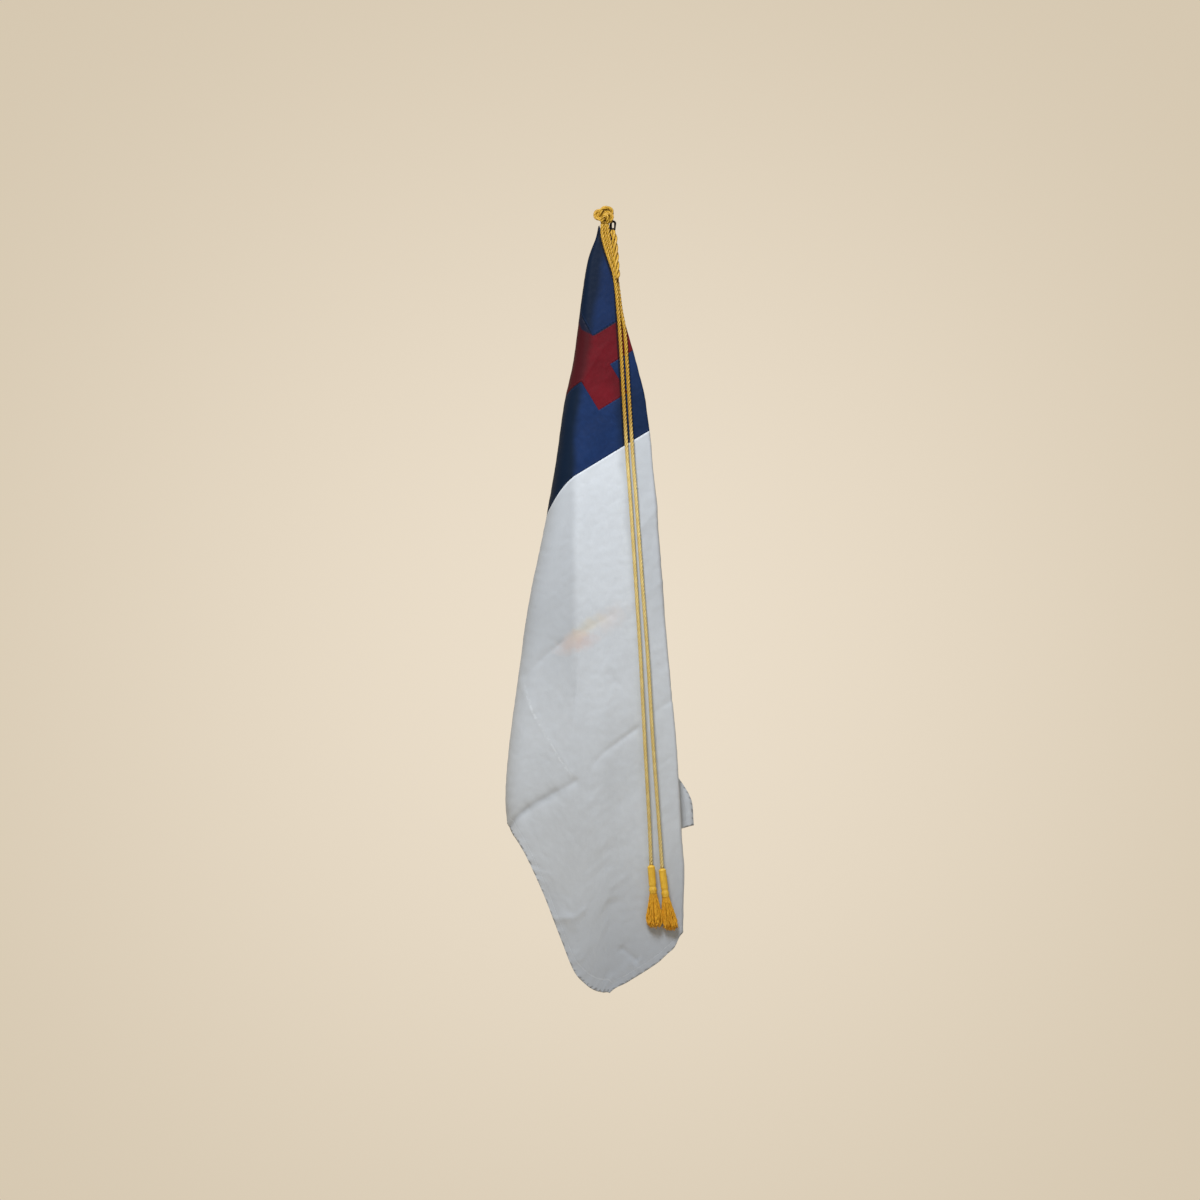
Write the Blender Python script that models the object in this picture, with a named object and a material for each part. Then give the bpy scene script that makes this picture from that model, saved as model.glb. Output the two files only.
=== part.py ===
"""A christian flag that hangs from its top hoist corner, with a tasselled cord tied at that corner.

Metres, +Z up. The front of the cloth faces -Y and its fly runs down to the right, towards +X.
The origin is the flag's top hoist corner, where it hangs.
"""

import math
from collections import namedtuple

import bmesh
import bpy
from mathutils import Vector

# The flat cloths. FLY distances run from the hoist edge, HOIST distances down from the top edge.
FLY = 1.524
HOIST = 0.914
CANTON_FLY = 0.457
CANTON_HOIST = 0.533
CROSS_FLY = 0.241  # middle of the cross
CROSS_HOIST = 0.195
ARM = 0.077  # width of the cross's arms, and length of the three short ones
LONG_ARM = 0.200
CLOTH = 0.0012
SEAM = 0.0008  # gap between cloths that are sewn together

# The hung cloth. The line from the top hoist corner at PLUMB_ANGLE below the top edge hangs plumb.
PLUMB_ANGLE = math.radians(31.3)
BUNCHED = 0.013  # cloth nearer than this to the corner is bunched under the knot
PAST_EDGE = math.radians(1.5)  # the sheet is drawn this far past its edges, then cut to size
SPARE = math.radians(35)  # near the corner, folds that run on past the edges by more than this are left out
BOW = 0.35  # the front falls back by this times the square of its distance from the plumb line
FOLD_AT_TOP, FOLD_BELOW = 0.0018, 0.0085  # radius of a hanging fold
FULL_FOLD = 0.80  # distance from the corner at which folds have their full radius

# How far the folds reach at a distance from the corner, measured along the cloth. left and right are
# the front's reach each side of the plumb line, and roll is the radius of its left edge. The top of
# the flag is tucked behind the front as far as tuck. The hoist's side is folded at back_right, and
# again behind the roll.
Reach = namedtuple("Reach", "distance left right roll tuck back_right")
REACHES = (
    Reach(0.00, 0.012, 0.010, 0.0050, -0.004, 0.004),
    Reach(0.03, 0.019, 0.015, 0.0065, -0.006, 0.008),
    Reach(0.09, 0.039, 0.022, 0.0120, -0.012, 0.015),
    Reach(0.18, 0.054, 0.0345, 0.0200, -0.020, 0.024),
    Reach(0.32, 0.073, 0.071, 0.0320, -0.026, 0.040),
    Reach(0.42, 0.092, 0.094, 0.0400, -0.034, 0.050),
    Reach(0.60, 0.129, 0.114, 0.0480, -0.052, 0.066),
    Reach(0.88, 0.175, 0.134, 0.0460, -0.074, 0.090),
    Reach(1.15, 0.213, 0.160, 0.0410, -0.092, 0.106),
    Reach(1.32, 0.229, 0.171, 0.0360, -0.110, 0.112),
    Reach(1.45, 0.227, 0.175, 0.0340, -0.1165, 0.114),
    Reach(1.55, 0.222, 0.177, 0.0320, -0.1350, 0.115),
    Reach(1.82, 0.190, 0.180, 0.0300, -0.1500, 0.115),
)
BACK_FOLD = math.radians(108)  # how far round the roll the hoist's second fold lies

# How much longer the cloth hangs at its hem than it was cut, as a share, by the angle below the
# top edge. The top edge hangs slack, and the bottom edge is drawn out beside the lowest corner.
Stretch = namedtuple("Stretch", "degrees share")
STRETCHES = (
    Stretch(0.0, -0.083),
    Stretch(12.0, -0.056),
    Stretch(24.0, -0.036),
    Stretch(25.4, -0.028),
    Stretch(26.4, -0.0125),
    Stretch(27.3, -0.007),
    Stretch(29.6, -0.0055),
    Stretch(31.0, -0.006),
    Stretch(31.45, 0.007),
    Stretch(32.1, 0.024),
    Stretch(32.8, 0.037),
    Stretch(33.8, 0.047),
    Stretch(35.0, 0.026),
    Stretch(36.6, 0.005),
    Stretch(38.5, -0.004),
    Stretch(41.0, -0.007),
    Stretch(60.0, 0.000),
    Stretch(90.0, 0.000),
)
STRETCH_FROM = 0.60  # share of the way to the hem at which the stretch begins

# The cloth left of the plumb line sags where the canton's side seam turns back round the roll.
Sag = namedtuple("Sag", "drop beside fully_beside distance reach")
SAG = Sag(drop=0.030, beside=0.066, fully_beside=0.122, distance=0.64, reach=0.30)

# Soft folds that stand out of the front, along lines from the corner.
Ridge = namedtuple("Ridge", "degrees width height start end")
RIDGES = (
    Ridge(31.6, 1.3, 0.0050, 0.90, 1.72),
    Ridge(36.5, 1.8, 0.0040, 0.45, 1.45),
    Ridge(27.4, 1.0, 0.0020, 1.25, 1.66),
)

ROWS = 58
ROW_GROWTH = 1.25  # rows of the sheet lie closer together near the corner
SLACK = 0.03  # the last rows pass the lowest corner by this
SCORE = 0.05  # a cut runs on this far past the corners of what is cut out
LINE_STEPS, TURN_STEPS, ROLL_STEPS = 4, 4, 8
FRONT_STEPS, FRONT_GROWTH = 5, 1.5  # across the front on each side, closer together near the plumb line

# The cord, its knot and its tassels
CORD = 0.0090
TOUCH = 0.0003  # gap between pieces that touch
CORD_POINTS = 39
CORD_OFF = CORD / 2 + CLOTH / 2 + TOUCH  # a cord's middle in front of the cloth's middle
KNOT_CENTRE = (-0.0012, -0.0090, 0.0228)
KNOT_RING, KNOT_WEAVE = 0.0122, 0.0052  # of the ring it runs round, and of the strands over each other
KNOT_WIDE = 1.26
KNOT_STEPS, KNOT_SIDES = 72, 8

# Where each run of cord passes, from the knot down: x, z, and how far it stands off the cloth.
LEFT_RUN = (
    (-0.0062, 0.0023, 0.0035),
    (-0.0058, -0.0230, 0.0040),
    (0.0016, -0.0540, 0.0060),
    (0.0118, -0.0850, 0.0090),
    (0.0206, -0.1130, 0.0100),
    (0.0262, -0.1510, 0.0098),
    (0.0300, -0.1955, 0.0080),
    (0.0338, -0.2415, 0.0030),
    (0.0382, -0.3105, 0.0015),
    (0.0432, -0.4025, 0.0012),
    (0.0515, -0.5405, 0.0012),
    (0.0582, -0.6325, 0.0012),
    (0.0695, -0.8165, 0.0014),
    (0.0791, -1.0005, 0.0018),
    (0.0888, -1.1845, 0.0028),
    (0.0984, -1.3685, 0.0045),
    (0.1040, -1.4710, 0.0062),
)
RIGHT_RUN = (
    (0.0052, 0.0017, 0.0030),
    (0.0080, -0.0230, 0.0020),
    (0.0138, -0.0540, 0.0008),
    (0.0200, -0.0850, 0.0005),
    (0.0258, -0.1130, 0.0005),
    (0.0312, -0.1510, 0.0005),
    (0.0368, -0.1955, 0.0005),
    (0.0450, -0.2415, 0.0008),
    (0.0502, -0.3105, 0.0010),
    (0.0557, -0.4025, 0.0012),
    (0.0645, -0.5405, 0.0012),
    (0.0710, -0.6325, 0.0012),
    (0.0822, -0.8165, 0.0014),
    (0.0938, -1.0005, 0.0018),
    (0.1063, -1.1845, 0.0028),
    (0.1200, -1.3685, 0.0045),
    (0.1288, -1.4790, 0.0062),
)
# The short end left over from tying, which hangs beside the runs and crosses over them: x, y, z.
SHORT_END = (
    (0.0160, -0.0105, -0.0125),
    (0.0200, -0.0138, -0.0250),
    (0.0226, -0.0153, -0.0450),
    (0.0238, -0.0158, -0.0680),
    (0.0242, -0.0190, -0.0880),
    (0.0243, -0.0236, -0.1060),
    (0.0245, -0.0254, -0.1240),
)
SHORT_END_POINTS = 18

# Tassels: x and z at the top of the head, at its collar and in the middle of the skirt's foot.
Tassel = namedtuple("Tassel", "name top collar foot")
TASSELS = (
    Tassel("tassel_left", (0.1040, -1.4718), (0.1086, -1.5340), (0.1106, -1.6140)),
    Tassel("tassel_right", (0.1288, -1.4798), (0.1364, -1.5420), (0.1500, -1.6180)),
)
HEAD = 0.0082  # radius of a tassel's head
HEAD_SIDES = 14
SKIRT_WIDE, SKIRT_DEEP = 0.0170, 0.0095  # half width and half depth of a skirt at its foot
TASSEL_OFF = 0.0025  # a tassel stands off the cloth by this, over its soft folds
STRAND = 0.0011
STRAND_RINGS = ((0.0, 1), (0.0024, 6), (0.0049, 11), (0.0071, 17))
STRAND_STEPS = 4

# The leather tab at the top of the hoist
TAB_THICK = 0.0024
TAB_CENTRE = (0.0185, 0.0040, -0.0010)
TAB_SLOT = (0.0030, 0.0075)  # half width and half height
TAB_RIM = 0.0045
TAB_TAIL = 0.030
TAB_SIDES = 24


def smooth(table, key, column, at):
    """A column of a table at a value of its key column, on a curve through the rows."""
    keys = [getattr(row, key) for row in table]
    values = [getattr(row, column) for row in table]
    at = min(max(at, keys[0]), keys[-1])
    i = max(j for j in range(len(keys) - 1) if keys[j] <= at)

    def slope(j):
        a, b = max(j - 1, 0), min(j + 1, len(keys) - 1)
        return (values[b] - values[a]) / (keys[b] - keys[a])

    step = keys[i + 1] - keys[i]
    t = (at - keys[i]) / step
    return (
        values[i] * (1 + 2 * t) * (1 - t) ** 2
        + values[i + 1] * t * t * (3 - 2 * t)
        + slope(i) * step * t * (1 - t) ** 2
        - slope(i + 1) * step * t * t * (1 - t)
    )


def ease(t):
    t = min(max(t, 0.0), 1.0)
    return t * t * (3 - 2 * t)


def stretches(stops):
    """The lines and arcs of a band seen from above, from the first stop, round the next ones and
    towards the last. A stop is x, y, radius and 1 where the band turns left round it or -1 where
    it turns right. Each stretch is its length, its start, its heading and its bend."""
    headings = []
    for a, b in zip(stops, stops[1:]):
        across, along = b[1] - a[1], b[0] - a[0]
        offset = b[3] * b[2] - a[3] * a[2]
        headings.append(math.atan2(across, along) - math.asin(offset / math.hypot(across, along)))
    x, y = stops[0][0], stops[0][1]
    result = []
    for i, heading in enumerate(headings):
        cx, cy, radius, spin = stops[i + 1]
        end_x = cx + spin * radius * math.sin(heading)
        end_y = cy - spin * radius * math.cos(heading)
        result.append((math.hypot(end_x - x, end_y - y), x, y, heading, 0.0))
        if i + 1 < len(headings):
            turn = (spin * (headings[i + 1] - heading)) % math.tau
            result.append((turn * radius, end_x, end_y, heading, spin / radius))
            x = cx + spin * radius * math.sin(headings[i + 1])
            y = cy - spin * radius * math.cos(headings[i + 1])
    return result


def along(path, distance):
    """The point of a band at a distance from its start, past its end if need be."""
    for length, x, y, heading, bend in path[:-1]:
        if distance <= length:
            break
        distance -= length
    else:
        length, x, y, heading, bend = path[-1]
    if bend:
        turned = heading + bend * distance
        return (
            x + (math.sin(turned) - math.sin(heading)) / bend,
            y - (math.cos(turned) - math.cos(heading)) / bend,
        )
    return x + math.cos(heading) * distance, y + math.sin(heading) * distance


def fold_radius(distance):
    return FOLD_AT_TOP + (FOLD_BELOW - FOLD_AT_TOP) * ease(distance / FULL_FOLD)


def bands(distance):
    """The cloth's right and left halves at a distance from the corner, seen from above."""
    reach = {column: smooth(REACHES, "distance", column, distance) for column in Reach._fields}
    fold = fold_radius(distance)
    edge = 0.7 * fold
    layer_1, layer_2 = 2 * edge, 2 * edge + 2 * fold
    roll = max(reach["roll"], layer_2 / 2 + fold)
    layer_3 = max(layer_2 + fold, 0.8 * roll)
    behind = roll + 1.25 * fold
    away = 1.02 * (behind + fold)
    turn_back = (
        roll - reach["left"] + away * math.cos(BACK_FOLD),
        roll + away * math.sin(BACK_FOLD),
    )
    right = (
        (0.0, 0.0, 0.0, 1),
        (reach["right"] - edge, edge, edge, 1),
        (reach["tuck"] + fold, layer_1 + fold, fold, -1),
        (reach["right"] + 1.0, layer_2, 0.0, 1),
    )
    left = (
        (0.0, 0.0, 0.0, 1),
        (roll - reach["left"], roll, roll, -1),
        (reach["back_right"] - fold, layer_3 + fold, fold, 1),
        (roll - reach["left"], roll, behind, 1),
        (*turn_back, fold, -1),
        (roll - reach["left"], roll, 0.99 * (behind + 2 * fold), -1),
        (reach["back_right"] + 0.1, layer_3 + 3.0 * fold, 0.0, 1),
    )
    return stretches(right), stretches(left)


def hem_distance(angle):
    """How far the hem is from the corner in a direction below the top edge."""
    fly = FLY / max(math.cos(angle), 1e-6)
    bottom = HOIST / max(math.sin(angle), 1e-6)
    return min(fly, bottom)


def hung(distance, angle, path, along_path):
    """Where a point of the cloth hangs."""
    x, y = along(path, along_path)
    y += BOW * x * x
    degrees = math.degrees(angle)
    for ridge in RIDGES:
        off = (degrees - ridge.degrees) / ridge.width
        rise = math.sin(math.pi * min(max((distance - ridge.start) / (ridge.end - ridge.start), 0.0), 1.0))
        y -= ridge.height * rise * math.exp(-off * off)
    share = smooth(STRETCHES, "degrees", "share", degrees)
    done = (distance / hem_distance(angle) - STRETCH_FROM) / (1 - STRETCH_FROM)
    drop = distance * (1 + share * ease(done))
    if angle > PLUMB_ANGLE:
        beside = ease((along_path - SAG.beside) / (SAG.fully_beside - SAG.beside))
        drop += SAG.drop * beside * (1 - ease(abs(distance - SAG.distance) / SAG.reach))
    return Vector((x, y, -math.sqrt(max(drop * drop - x * x - y * y, 0.0))))


def stations(path, reach_to, lines):
    """Distances along a band at which the sheet has its points."""
    result, start = [], 0.0
    for i, (length, *_) in enumerate(path):
        steps = lines[i]
        growth = 1.0 if i else FRONT_GROWTH
        if i == len(path) - 1:
            length = max(reach_to - start, fold_radius(0.0))
        result += [start + length * (k / steps) ** growth for k in range(1, steps + 1)]
        start += length
    return result


def sheet():
    """The whole cloth, flat: x along the fly and y along the hoist, with the hung places beside."""
    bm = bmesh.new()
    place = bm.verts.layers.float_vector.new("hung")
    longest = math.hypot(FLY, HOIST) + SLACK
    previous = None
    for i in range(ROWS):
        distance = BUNCHED + (longest - BUNCHED) * (i / (ROWS - 1)) ** ROW_GROWTH
        right, left = bands(distance)
        to_top = distance * (PLUMB_ANGLE + PAST_EDGE)
        to_hoist = distance * (math.pi / 2 + PAST_EDGE - PLUMB_ANGLE)
        right_stations = stations(right, to_top, (FRONT_STEPS, TURN_STEPS, LINE_STEPS, TURN_STEPS, LINE_STEPS))
        left_stations = stations(
            left,
            to_hoist,
            (FRONT_STEPS, ROLL_STEPS, LINE_STEPS, TURN_STEPS, LINE_STEPS, 2, 1, TURN_STEPS, 1, 2, LINE_STEPS),
        )
        row = []
        for side, path, points in ((-1, right, right_stations[::-1]), (1, left, [0.0] + left_stations)):
            for point in points:
                angle = PLUMB_ANGLE + side * point / distance
                if not -SPARE <= angle <= math.pi / 2 + SPARE:
                    row.append(None)
                    continue
                vert = bm.verts.new((distance * math.cos(angle), distance * math.sin(angle), 0.0))
                vert[place] = hung(distance, angle, path, point)
                row.append(vert)
        if previous:
            for a, b, c, d in zip(previous, previous[1:], row[1:], row):
                if a and b and c and d:
                    bm.faces.new((a, b, c, d))
        previous = row
    return bm


def rectangle(fly_0, fly_1, hoist_0, hoist_1):
    return (fly_0, fly_1, hoist_0, hoist_1)


def cross(grow):
    """The cross's upright and crossbar, each side moved out by grow."""
    half, reach = ARM / 2 + grow, ARM * 1.5 + grow
    return (
        rectangle(CROSS_FLY - half, CROSS_FLY + half, CROSS_HOIST - reach, CROSS_HOIST + half + LONG_ARM),
        rectangle(CROSS_FLY - reach, CROSS_FLY + reach, CROSS_HOIST - half, CROSS_HOIST + half),
    )


def grown(box, margin):
    return (box[0] - margin, box[1] + margin, box[2] - margin, box[3] + margin)


def inside(point, box):
    return box[0] < point.x < box[1] and box[2] < point.y < box[3]


def sewn(name, material, outline, holes):
    """One cloth of the flag: the sheet cut along its outline and its holes, hung and thickened."""
    bm = sheet()
    for box in outline + holes:
        for k, value in enumerate(box):
            near = [face for face in bm.faces if inside(face.calc_center_median(), grown(box, SCORE))]
            edges = {edge for face in near for edge in face.edges}
            verts = {vert for face in near for vert in face.verts}
            bmesh.ops.bisect_plane(
                bm,
                geom=[*verts, *edges, *near],
                dist=1e-6,
                plane_co=(value, 0, 0) if k < 2 else (0, value, 0),
                plane_no=(1, 0, 0) if k < 2 else (0, 1, 0),
            )
    spare = []
    for face in bm.faces:
        middle = face.calc_center_median()
        wanted = any(inside(middle, box) for box in outline)
        if not wanted or any(inside(middle, box) for box in holes):
            spare.append(face)
    bmesh.ops.delete(bm, geom=spare, context="FACES")
    place = bm.verts.layers.float_vector["hung"]
    for vert in bm.verts:
        vert.co = vert[place]
    flag = bm_object(name, bm, material)
    solid = flag.modifiers.new("cloth", "SOLIDIFY")
    solid.thickness = CLOTH
    solid.offset = 0.0
    return flag


def front(x):
    """How far back the middle of the front cloth is at x."""
    return BOW * x * x


def through(points, count):
    """COUNT points, evenly spaced in the curve's own measure, on a smooth curve through POINTS."""
    ends = [2 * points[0] - points[1]] + points + [2 * points[-1] - points[-2]]
    lengths = [0.0]
    for a, b in zip(points, points[1:]):
        lengths.append(lengths[-1] + (b - a).length)
    result = []
    for k in range(count):
        at = lengths[-1] * k / (count - 1)
        i = max(j for j in range(len(points) - 1) if lengths[j] <= at)
        t = (at - lengths[i]) / (lengths[i + 1] - lengths[i])
        a, b, c, d = ends[i : i + 4]
        result.append(
            0.5 * (2 * b + (c - a) * t + (2 * a - 5 * b + 4 * c - d) * t * t + (3 * b - a - 3 * c + d) * t ** 3)
        )
    return result


def colour(name, rgb, roughness):
    material = bpy.data.materials.new(name)
    material.use_nodes = True
    shader = material.node_tree.nodes["Principled BSDF"]
    shader.inputs["Base Color"].default_value = (*rgb, 1.0)
    shader.inputs["Roughness"].default_value = roughness
    shader.inputs["Metallic"].default_value = 0.0
    return material


def bm_object(name, bm, material):
    mesh = bpy.data.meshes.new(name)
    bm.to_mesh(mesh)
    bm.free()
    mesh.materials.append(material)
    mesh.shade_smooth()
    result = bpy.data.objects.new(name, mesh)
    bpy.context.collection.objects.link(result)
    return result


def cord(name, points, material):
    curve = bpy.data.curves.new(name, "CURVE")
    curve.dimensions = "3D"
    curve.bevel_depth = CORD / 2
    curve.bevel_resolution = 2
    curve.use_fill_caps = True
    spline = curve.splines.new("POLY")
    spline.points.add(len(points) - 1)
    for target, point in zip(spline.points, points):
        target.co = (*point, 1.0)
    curve.materials.append(material)
    result = bpy.data.objects.new(name, curve)
    bpy.context.collection.objects.link(result)
    return result


def run(name, table, material):
    """A run of cord that lies down the front of the cloth."""
    points = [Vector((x, front(x) - CORD_OFF - off, z)) for x, z, off in table]
    return cord(name, through(points, CORD_POINTS), material)


def knot(material):
    """The knot: one closed strand that passes over and under itself three times."""
    bm = bmesh.new()
    centre = Vector(KNOT_CENTRE)

    def strand(t):
        ring = KNOT_RING + KNOT_WEAVE * math.cos(3 * t)
        return centre + Vector((
            -KNOT_WIDE * ring * math.cos(2 * t),
            KNOT_WEAVE * math.sin(3 * t),
            ring * math.sin(2 * t),
        ))

    rings = []
    for i in range(KNOT_STEPS):
        t = math.tau * i / KNOT_STEPS
        ahead = (strand(t + 0.01) - strand(t - 0.01)).normalized()
        side = ahead.cross(strand(t) - centre).normalized()
        up = side.cross(ahead)
        ring = []
        for k in range(KNOT_SIDES):
            turn = math.tau * k / KNOT_SIDES
            offset = side * math.cos(turn) + up * math.sin(turn)
            ring.append(bm.verts.new(strand(t) + offset * CORD / 2))
        rings.append(ring)
    for a, b in zip(rings, rings[1:] + rings[:1]):
        for k in range(KNOT_SIDES):
            n = (k + 1) % KNOT_SIDES
            bm.faces.new((a[k], b[k], b[n], a[n]))
    bmesh.ops.recalc_face_normals(bm, faces=bm.faces[:])
    return bm_object("cord_knot", bm, material)


def tassel(shape, material):
    """A wound head with a collar, and a skirt of strands that are rooted in the head."""
    top, collar, foot = (Vector((x, 0.0, z)) for x, z in (shape.top, shape.collar, shape.foot))
    off = CLOTH / 2 + TASSEL_OFF
    top.y = collar.y = front(collar.x) - off - HEAD * 1.1
    foot.y = front(foot.x) - off - SKIRT_DEEP - STRAND
    axis = (collar - top).normalized()
    long = (collar - top).length
    profile = (
        (0.0, 0.55), (0.05, 0.88), (0.12, 1.0), (0.86, 1.0), (0.88, 1.1), (0.97, 1.1), (1.0, 1.0), (1.06, 0.98),
    )
    bm = bmesh.new()
    side = axis.cross(Vector((0, 1, 0))).normalized()
    deep = side.cross(axis)
    rings = []
    for part, wide in profile:
        middle = top + axis * long * part
        ring = []
        for k in range(HEAD_SIDES):
            turn = math.tau * k / HEAD_SIDES
            ring.append(bm.verts.new(middle + (side * math.cos(turn) + deep * math.sin(turn)) * HEAD * wide))
        rings.append(ring)
    for a, b in zip(rings, rings[1:]):
        for k in range(HEAD_SIDES):
            n = (k + 1) % HEAD_SIDES
            bm.faces.new((a[k], a[n], b[n], b[k]))
    bm.faces.new(rings[0])
    bm.faces.new(rings[-1])
    bmesh.ops.recalc_face_normals(bm, faces=bm.faces[:])
    head = bm_object(shape.name, bm, material)

    root = top + axis * long
    bm = bmesh.new()
    for ring_radius, count in STRAND_RINGS:
        for k in range(count):
            turn = math.tau * (k + 0.5 * (count % 2)) / count
            wide = ring_radius / STRAND_RINGS[-1][0]
            start = root + side * math.cos(turn) * ring_radius + deep * math.sin(turn) * ring_radius
            end = foot + Vector((
                math.cos(turn) * wide * SKIRT_WIDE,
                math.sin(turn) * wide * SKIRT_DEEP,
                0.004 * math.sin(5 * turn + 9 * wide),
            ))
            previous = None
            for step in range(STRAND_STEPS + 1):
                t = step / STRAND_STEPS
                middle = start.lerp(root + axis * 0.02 + (start - root) * 1.25, ease(t)).lerp(end, t ** 1.4)
                ring = []
                for corner in range(3):
                    way = math.tau * corner / 3 + turn
                    ring.append(bm.verts.new(middle + STRAND * Vector((math.cos(way), math.sin(way), 0.0))))
                if previous:
                    for corner in range(3):
                        other = (corner + 1) % 3
                        bm.faces.new((previous[corner], ring[corner], ring[other], previous[other]))
                else:
                    bm.faces.new(ring)
                previous = ring
            bm.faces.new(previous[::-1])
    bmesh.ops.recalc_face_normals(bm, faces=bm.faces[:])
    strands = bm_object(shape.name + "_strands", bm, material)
    strands.hide_render = True
    strands.display_type = "WIRE"
    join = head.modifiers.new("strands", "BOOLEAN")
    join.operation = "UNION"
    join.object = strands
    return head


def tab(material):
    """The flat leather tab, slotted at the top and sewn to the hoist by its tail."""
    bm = bmesh.new()
    centre = Vector(TAB_CENTRE)
    inner, outer = [], []
    for k in range(TAB_SIDES):
        turn = math.tau * (k + 0.5) / TAB_SIDES
        x, z = math.cos(turn), math.sin(turn)
        straight = math.copysign(TAB_SLOT[1] - TAB_SLOT[0], z)
        inner.append(bm.verts.new(centre + Vector((x * TAB_SLOT[0], 0, z * TAB_SLOT[0] + straight))))
        rim = TAB_SLOT[0] + TAB_RIM
        drop = -TAB_TAIL * ease(-2 * z) if z < 0 else 0.0
        lean = drop * 0.35
        outer.append(bm.verts.new(centre + Vector((x * rim + lean, 0, z * rim + straight + drop))))
    faces = []
    for k in range(TAB_SIDES):
        n = (k + 1) % TAB_SIDES
        faces.append(bm.faces.new((inner[k], inner[n], outer[n], outer[k])))
    extruded = bmesh.ops.extrude_face_region(bm, geom=faces)
    moved = [item for item in extruded["geom"] if isinstance(item, bmesh.types.BMVert)]
    bmesh.ops.translate(bm, verts=moved, vec=(0, TAB_THICK, 0))
    bmesh.ops.recalc_face_normals(bm, faces=bm.faces[:])
    return bm_object("hanging_tab", bm, material)


def main():
    for old in list(bpy.data.objects):
        bpy.data.objects.remove(old, do_unlink=True)
    white = colour("white nylon", (0.60, 0.62, 0.65), 0.65)
    blue = colour("navy nylon", (0.014, 0.035, 0.105), 0.60)
    red = colour("red nylon", (0.19, 0.014, 0.028), 0.60)
    gold = colour("gold cord", (0.58, 0.40, 0.07), 0.45)
    deep_gold = colour("gold tassel", (0.50, 0.26, 0.03), 0.50)
    brown = colour("dark leather", (0.020, 0.012, 0.010), 0.55)

    half = SEAM / 2
    canton_in = rectangle(-1.0, CANTON_FLY - half, -1.0, CANTON_HOIST - half)
    canton_out = rectangle(-1.0, CANTON_FLY + half, -1.0, CANTON_HOIST + half)
    whole = rectangle(0.0, FLY, 0.0, HOIST)
    canton = rectangle(0.0, canton_in[1], 0.0, canton_in[3])
    sewn("field", white, (whole,), (canton_out,))
    sewn("canton", blue, (canton,), cross(half))
    sewn("cross", red, cross(-half), ())

    knot(gold)
    run("cord_left", LEFT_RUN, gold)
    run("cord_right", RIGHT_RUN, gold)
    cord("cord_end", through([Vector(point) for point in SHORT_END], SHORT_END_POINTS), gold)
    for shape in TASSELS:
        tassel(shape, deep_gold)
    tab(brown)


main()
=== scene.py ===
from collections import namedtuple
from functools import partial, partialmethod
from itertools import accumulate
from math import asin, atan2, copysign, cos, degrees, exp, hypot, pi, radians, sin, sqrt, tau

import bmesh
import bpy
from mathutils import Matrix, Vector, noise


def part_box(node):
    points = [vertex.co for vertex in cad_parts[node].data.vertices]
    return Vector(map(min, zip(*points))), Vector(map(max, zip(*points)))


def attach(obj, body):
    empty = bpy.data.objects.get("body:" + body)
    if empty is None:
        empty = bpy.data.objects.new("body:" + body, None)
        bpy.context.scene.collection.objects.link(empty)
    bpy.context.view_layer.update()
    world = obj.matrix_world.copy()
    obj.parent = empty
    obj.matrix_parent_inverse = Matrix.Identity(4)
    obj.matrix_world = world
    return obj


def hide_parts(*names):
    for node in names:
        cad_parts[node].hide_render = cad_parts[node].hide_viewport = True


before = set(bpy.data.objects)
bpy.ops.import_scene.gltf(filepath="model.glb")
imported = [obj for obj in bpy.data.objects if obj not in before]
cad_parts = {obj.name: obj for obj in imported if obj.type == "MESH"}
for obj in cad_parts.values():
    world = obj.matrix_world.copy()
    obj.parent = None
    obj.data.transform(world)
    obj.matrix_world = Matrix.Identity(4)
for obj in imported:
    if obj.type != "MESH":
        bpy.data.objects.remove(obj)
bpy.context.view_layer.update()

bl_info = {
    "name": "Hung Christian Flag",
    "version": (1, 0, 0),
    "blender": (4, 5, 0),
    "location": "View3D > Sidebar > Flag",
    "description": "Dresses a flag that hangs from its corner: its cloths, cord, knot, tassels and tab",
    "category": "Add Mesh",
}

# The hung cloth: the same named sizes and tables as the solids have. Angles are below the top edge.
PLUMB_ANGLE = radians(31.3)
BUNCHED = 0.013
PAST_EDGE = radians(1.5)
SPARE = radians(35)
BOW = 0.35
FOLD_AT_TOP, FOLD_BELOW = 0.0018, 0.0085
FULL_FOLD = 0.8
BACK_FOLD = radians(108)
STRETCH_FROM = 0.6
Sag = namedtuple("Sag", "drop beside fully_beside distance reach")
SAG = Sag(drop=0.034, beside=0.066, fully_beside=0.146, distance=0.64, reach=0.3)

Reach = namedtuple("Reach", "distance left right roll tuck back_right")
REACHES = [Reach(*row) for row in (
    (0.0, 0.012, 0.01, 0.005, -0.004, 0.004), (0.03, 0.019, 0.015, 0.0065, -0.006, 0.008),
    (0.09, 0.039, 0.022, 0.012, -0.012, 0.015), (0.18, 0.054, 0.0345, 0.02, -0.02, 0.024),
    (0.32, 0.073, 0.071, 0.032, -0.026, 0.04), (0.42, 0.0945, 0.094, 0.04, -0.034, 0.05),
    (0.6, 0.1235, 0.114, 0.048, -0.052, 0.066), (0.88, 0.175, 0.134, 0.046, -0.074, 0.09),
    (1.15, 0.213, 0.16, 0.041, -0.092, 0.106), (1.32, 0.2275, 0.171, 0.036, -0.11, 0.112),
    (1.45, 0.2235, 0.1755, 0.034, -0.1135, 0.114), (1.55, 0.22, 0.1825, 0.032, -0.127, 0.115),
    (1.82, 0.19, 0.172, 0.03, -0.15, 0.115),
)]
Stretch = namedtuple("Stretch", "degrees share")
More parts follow.
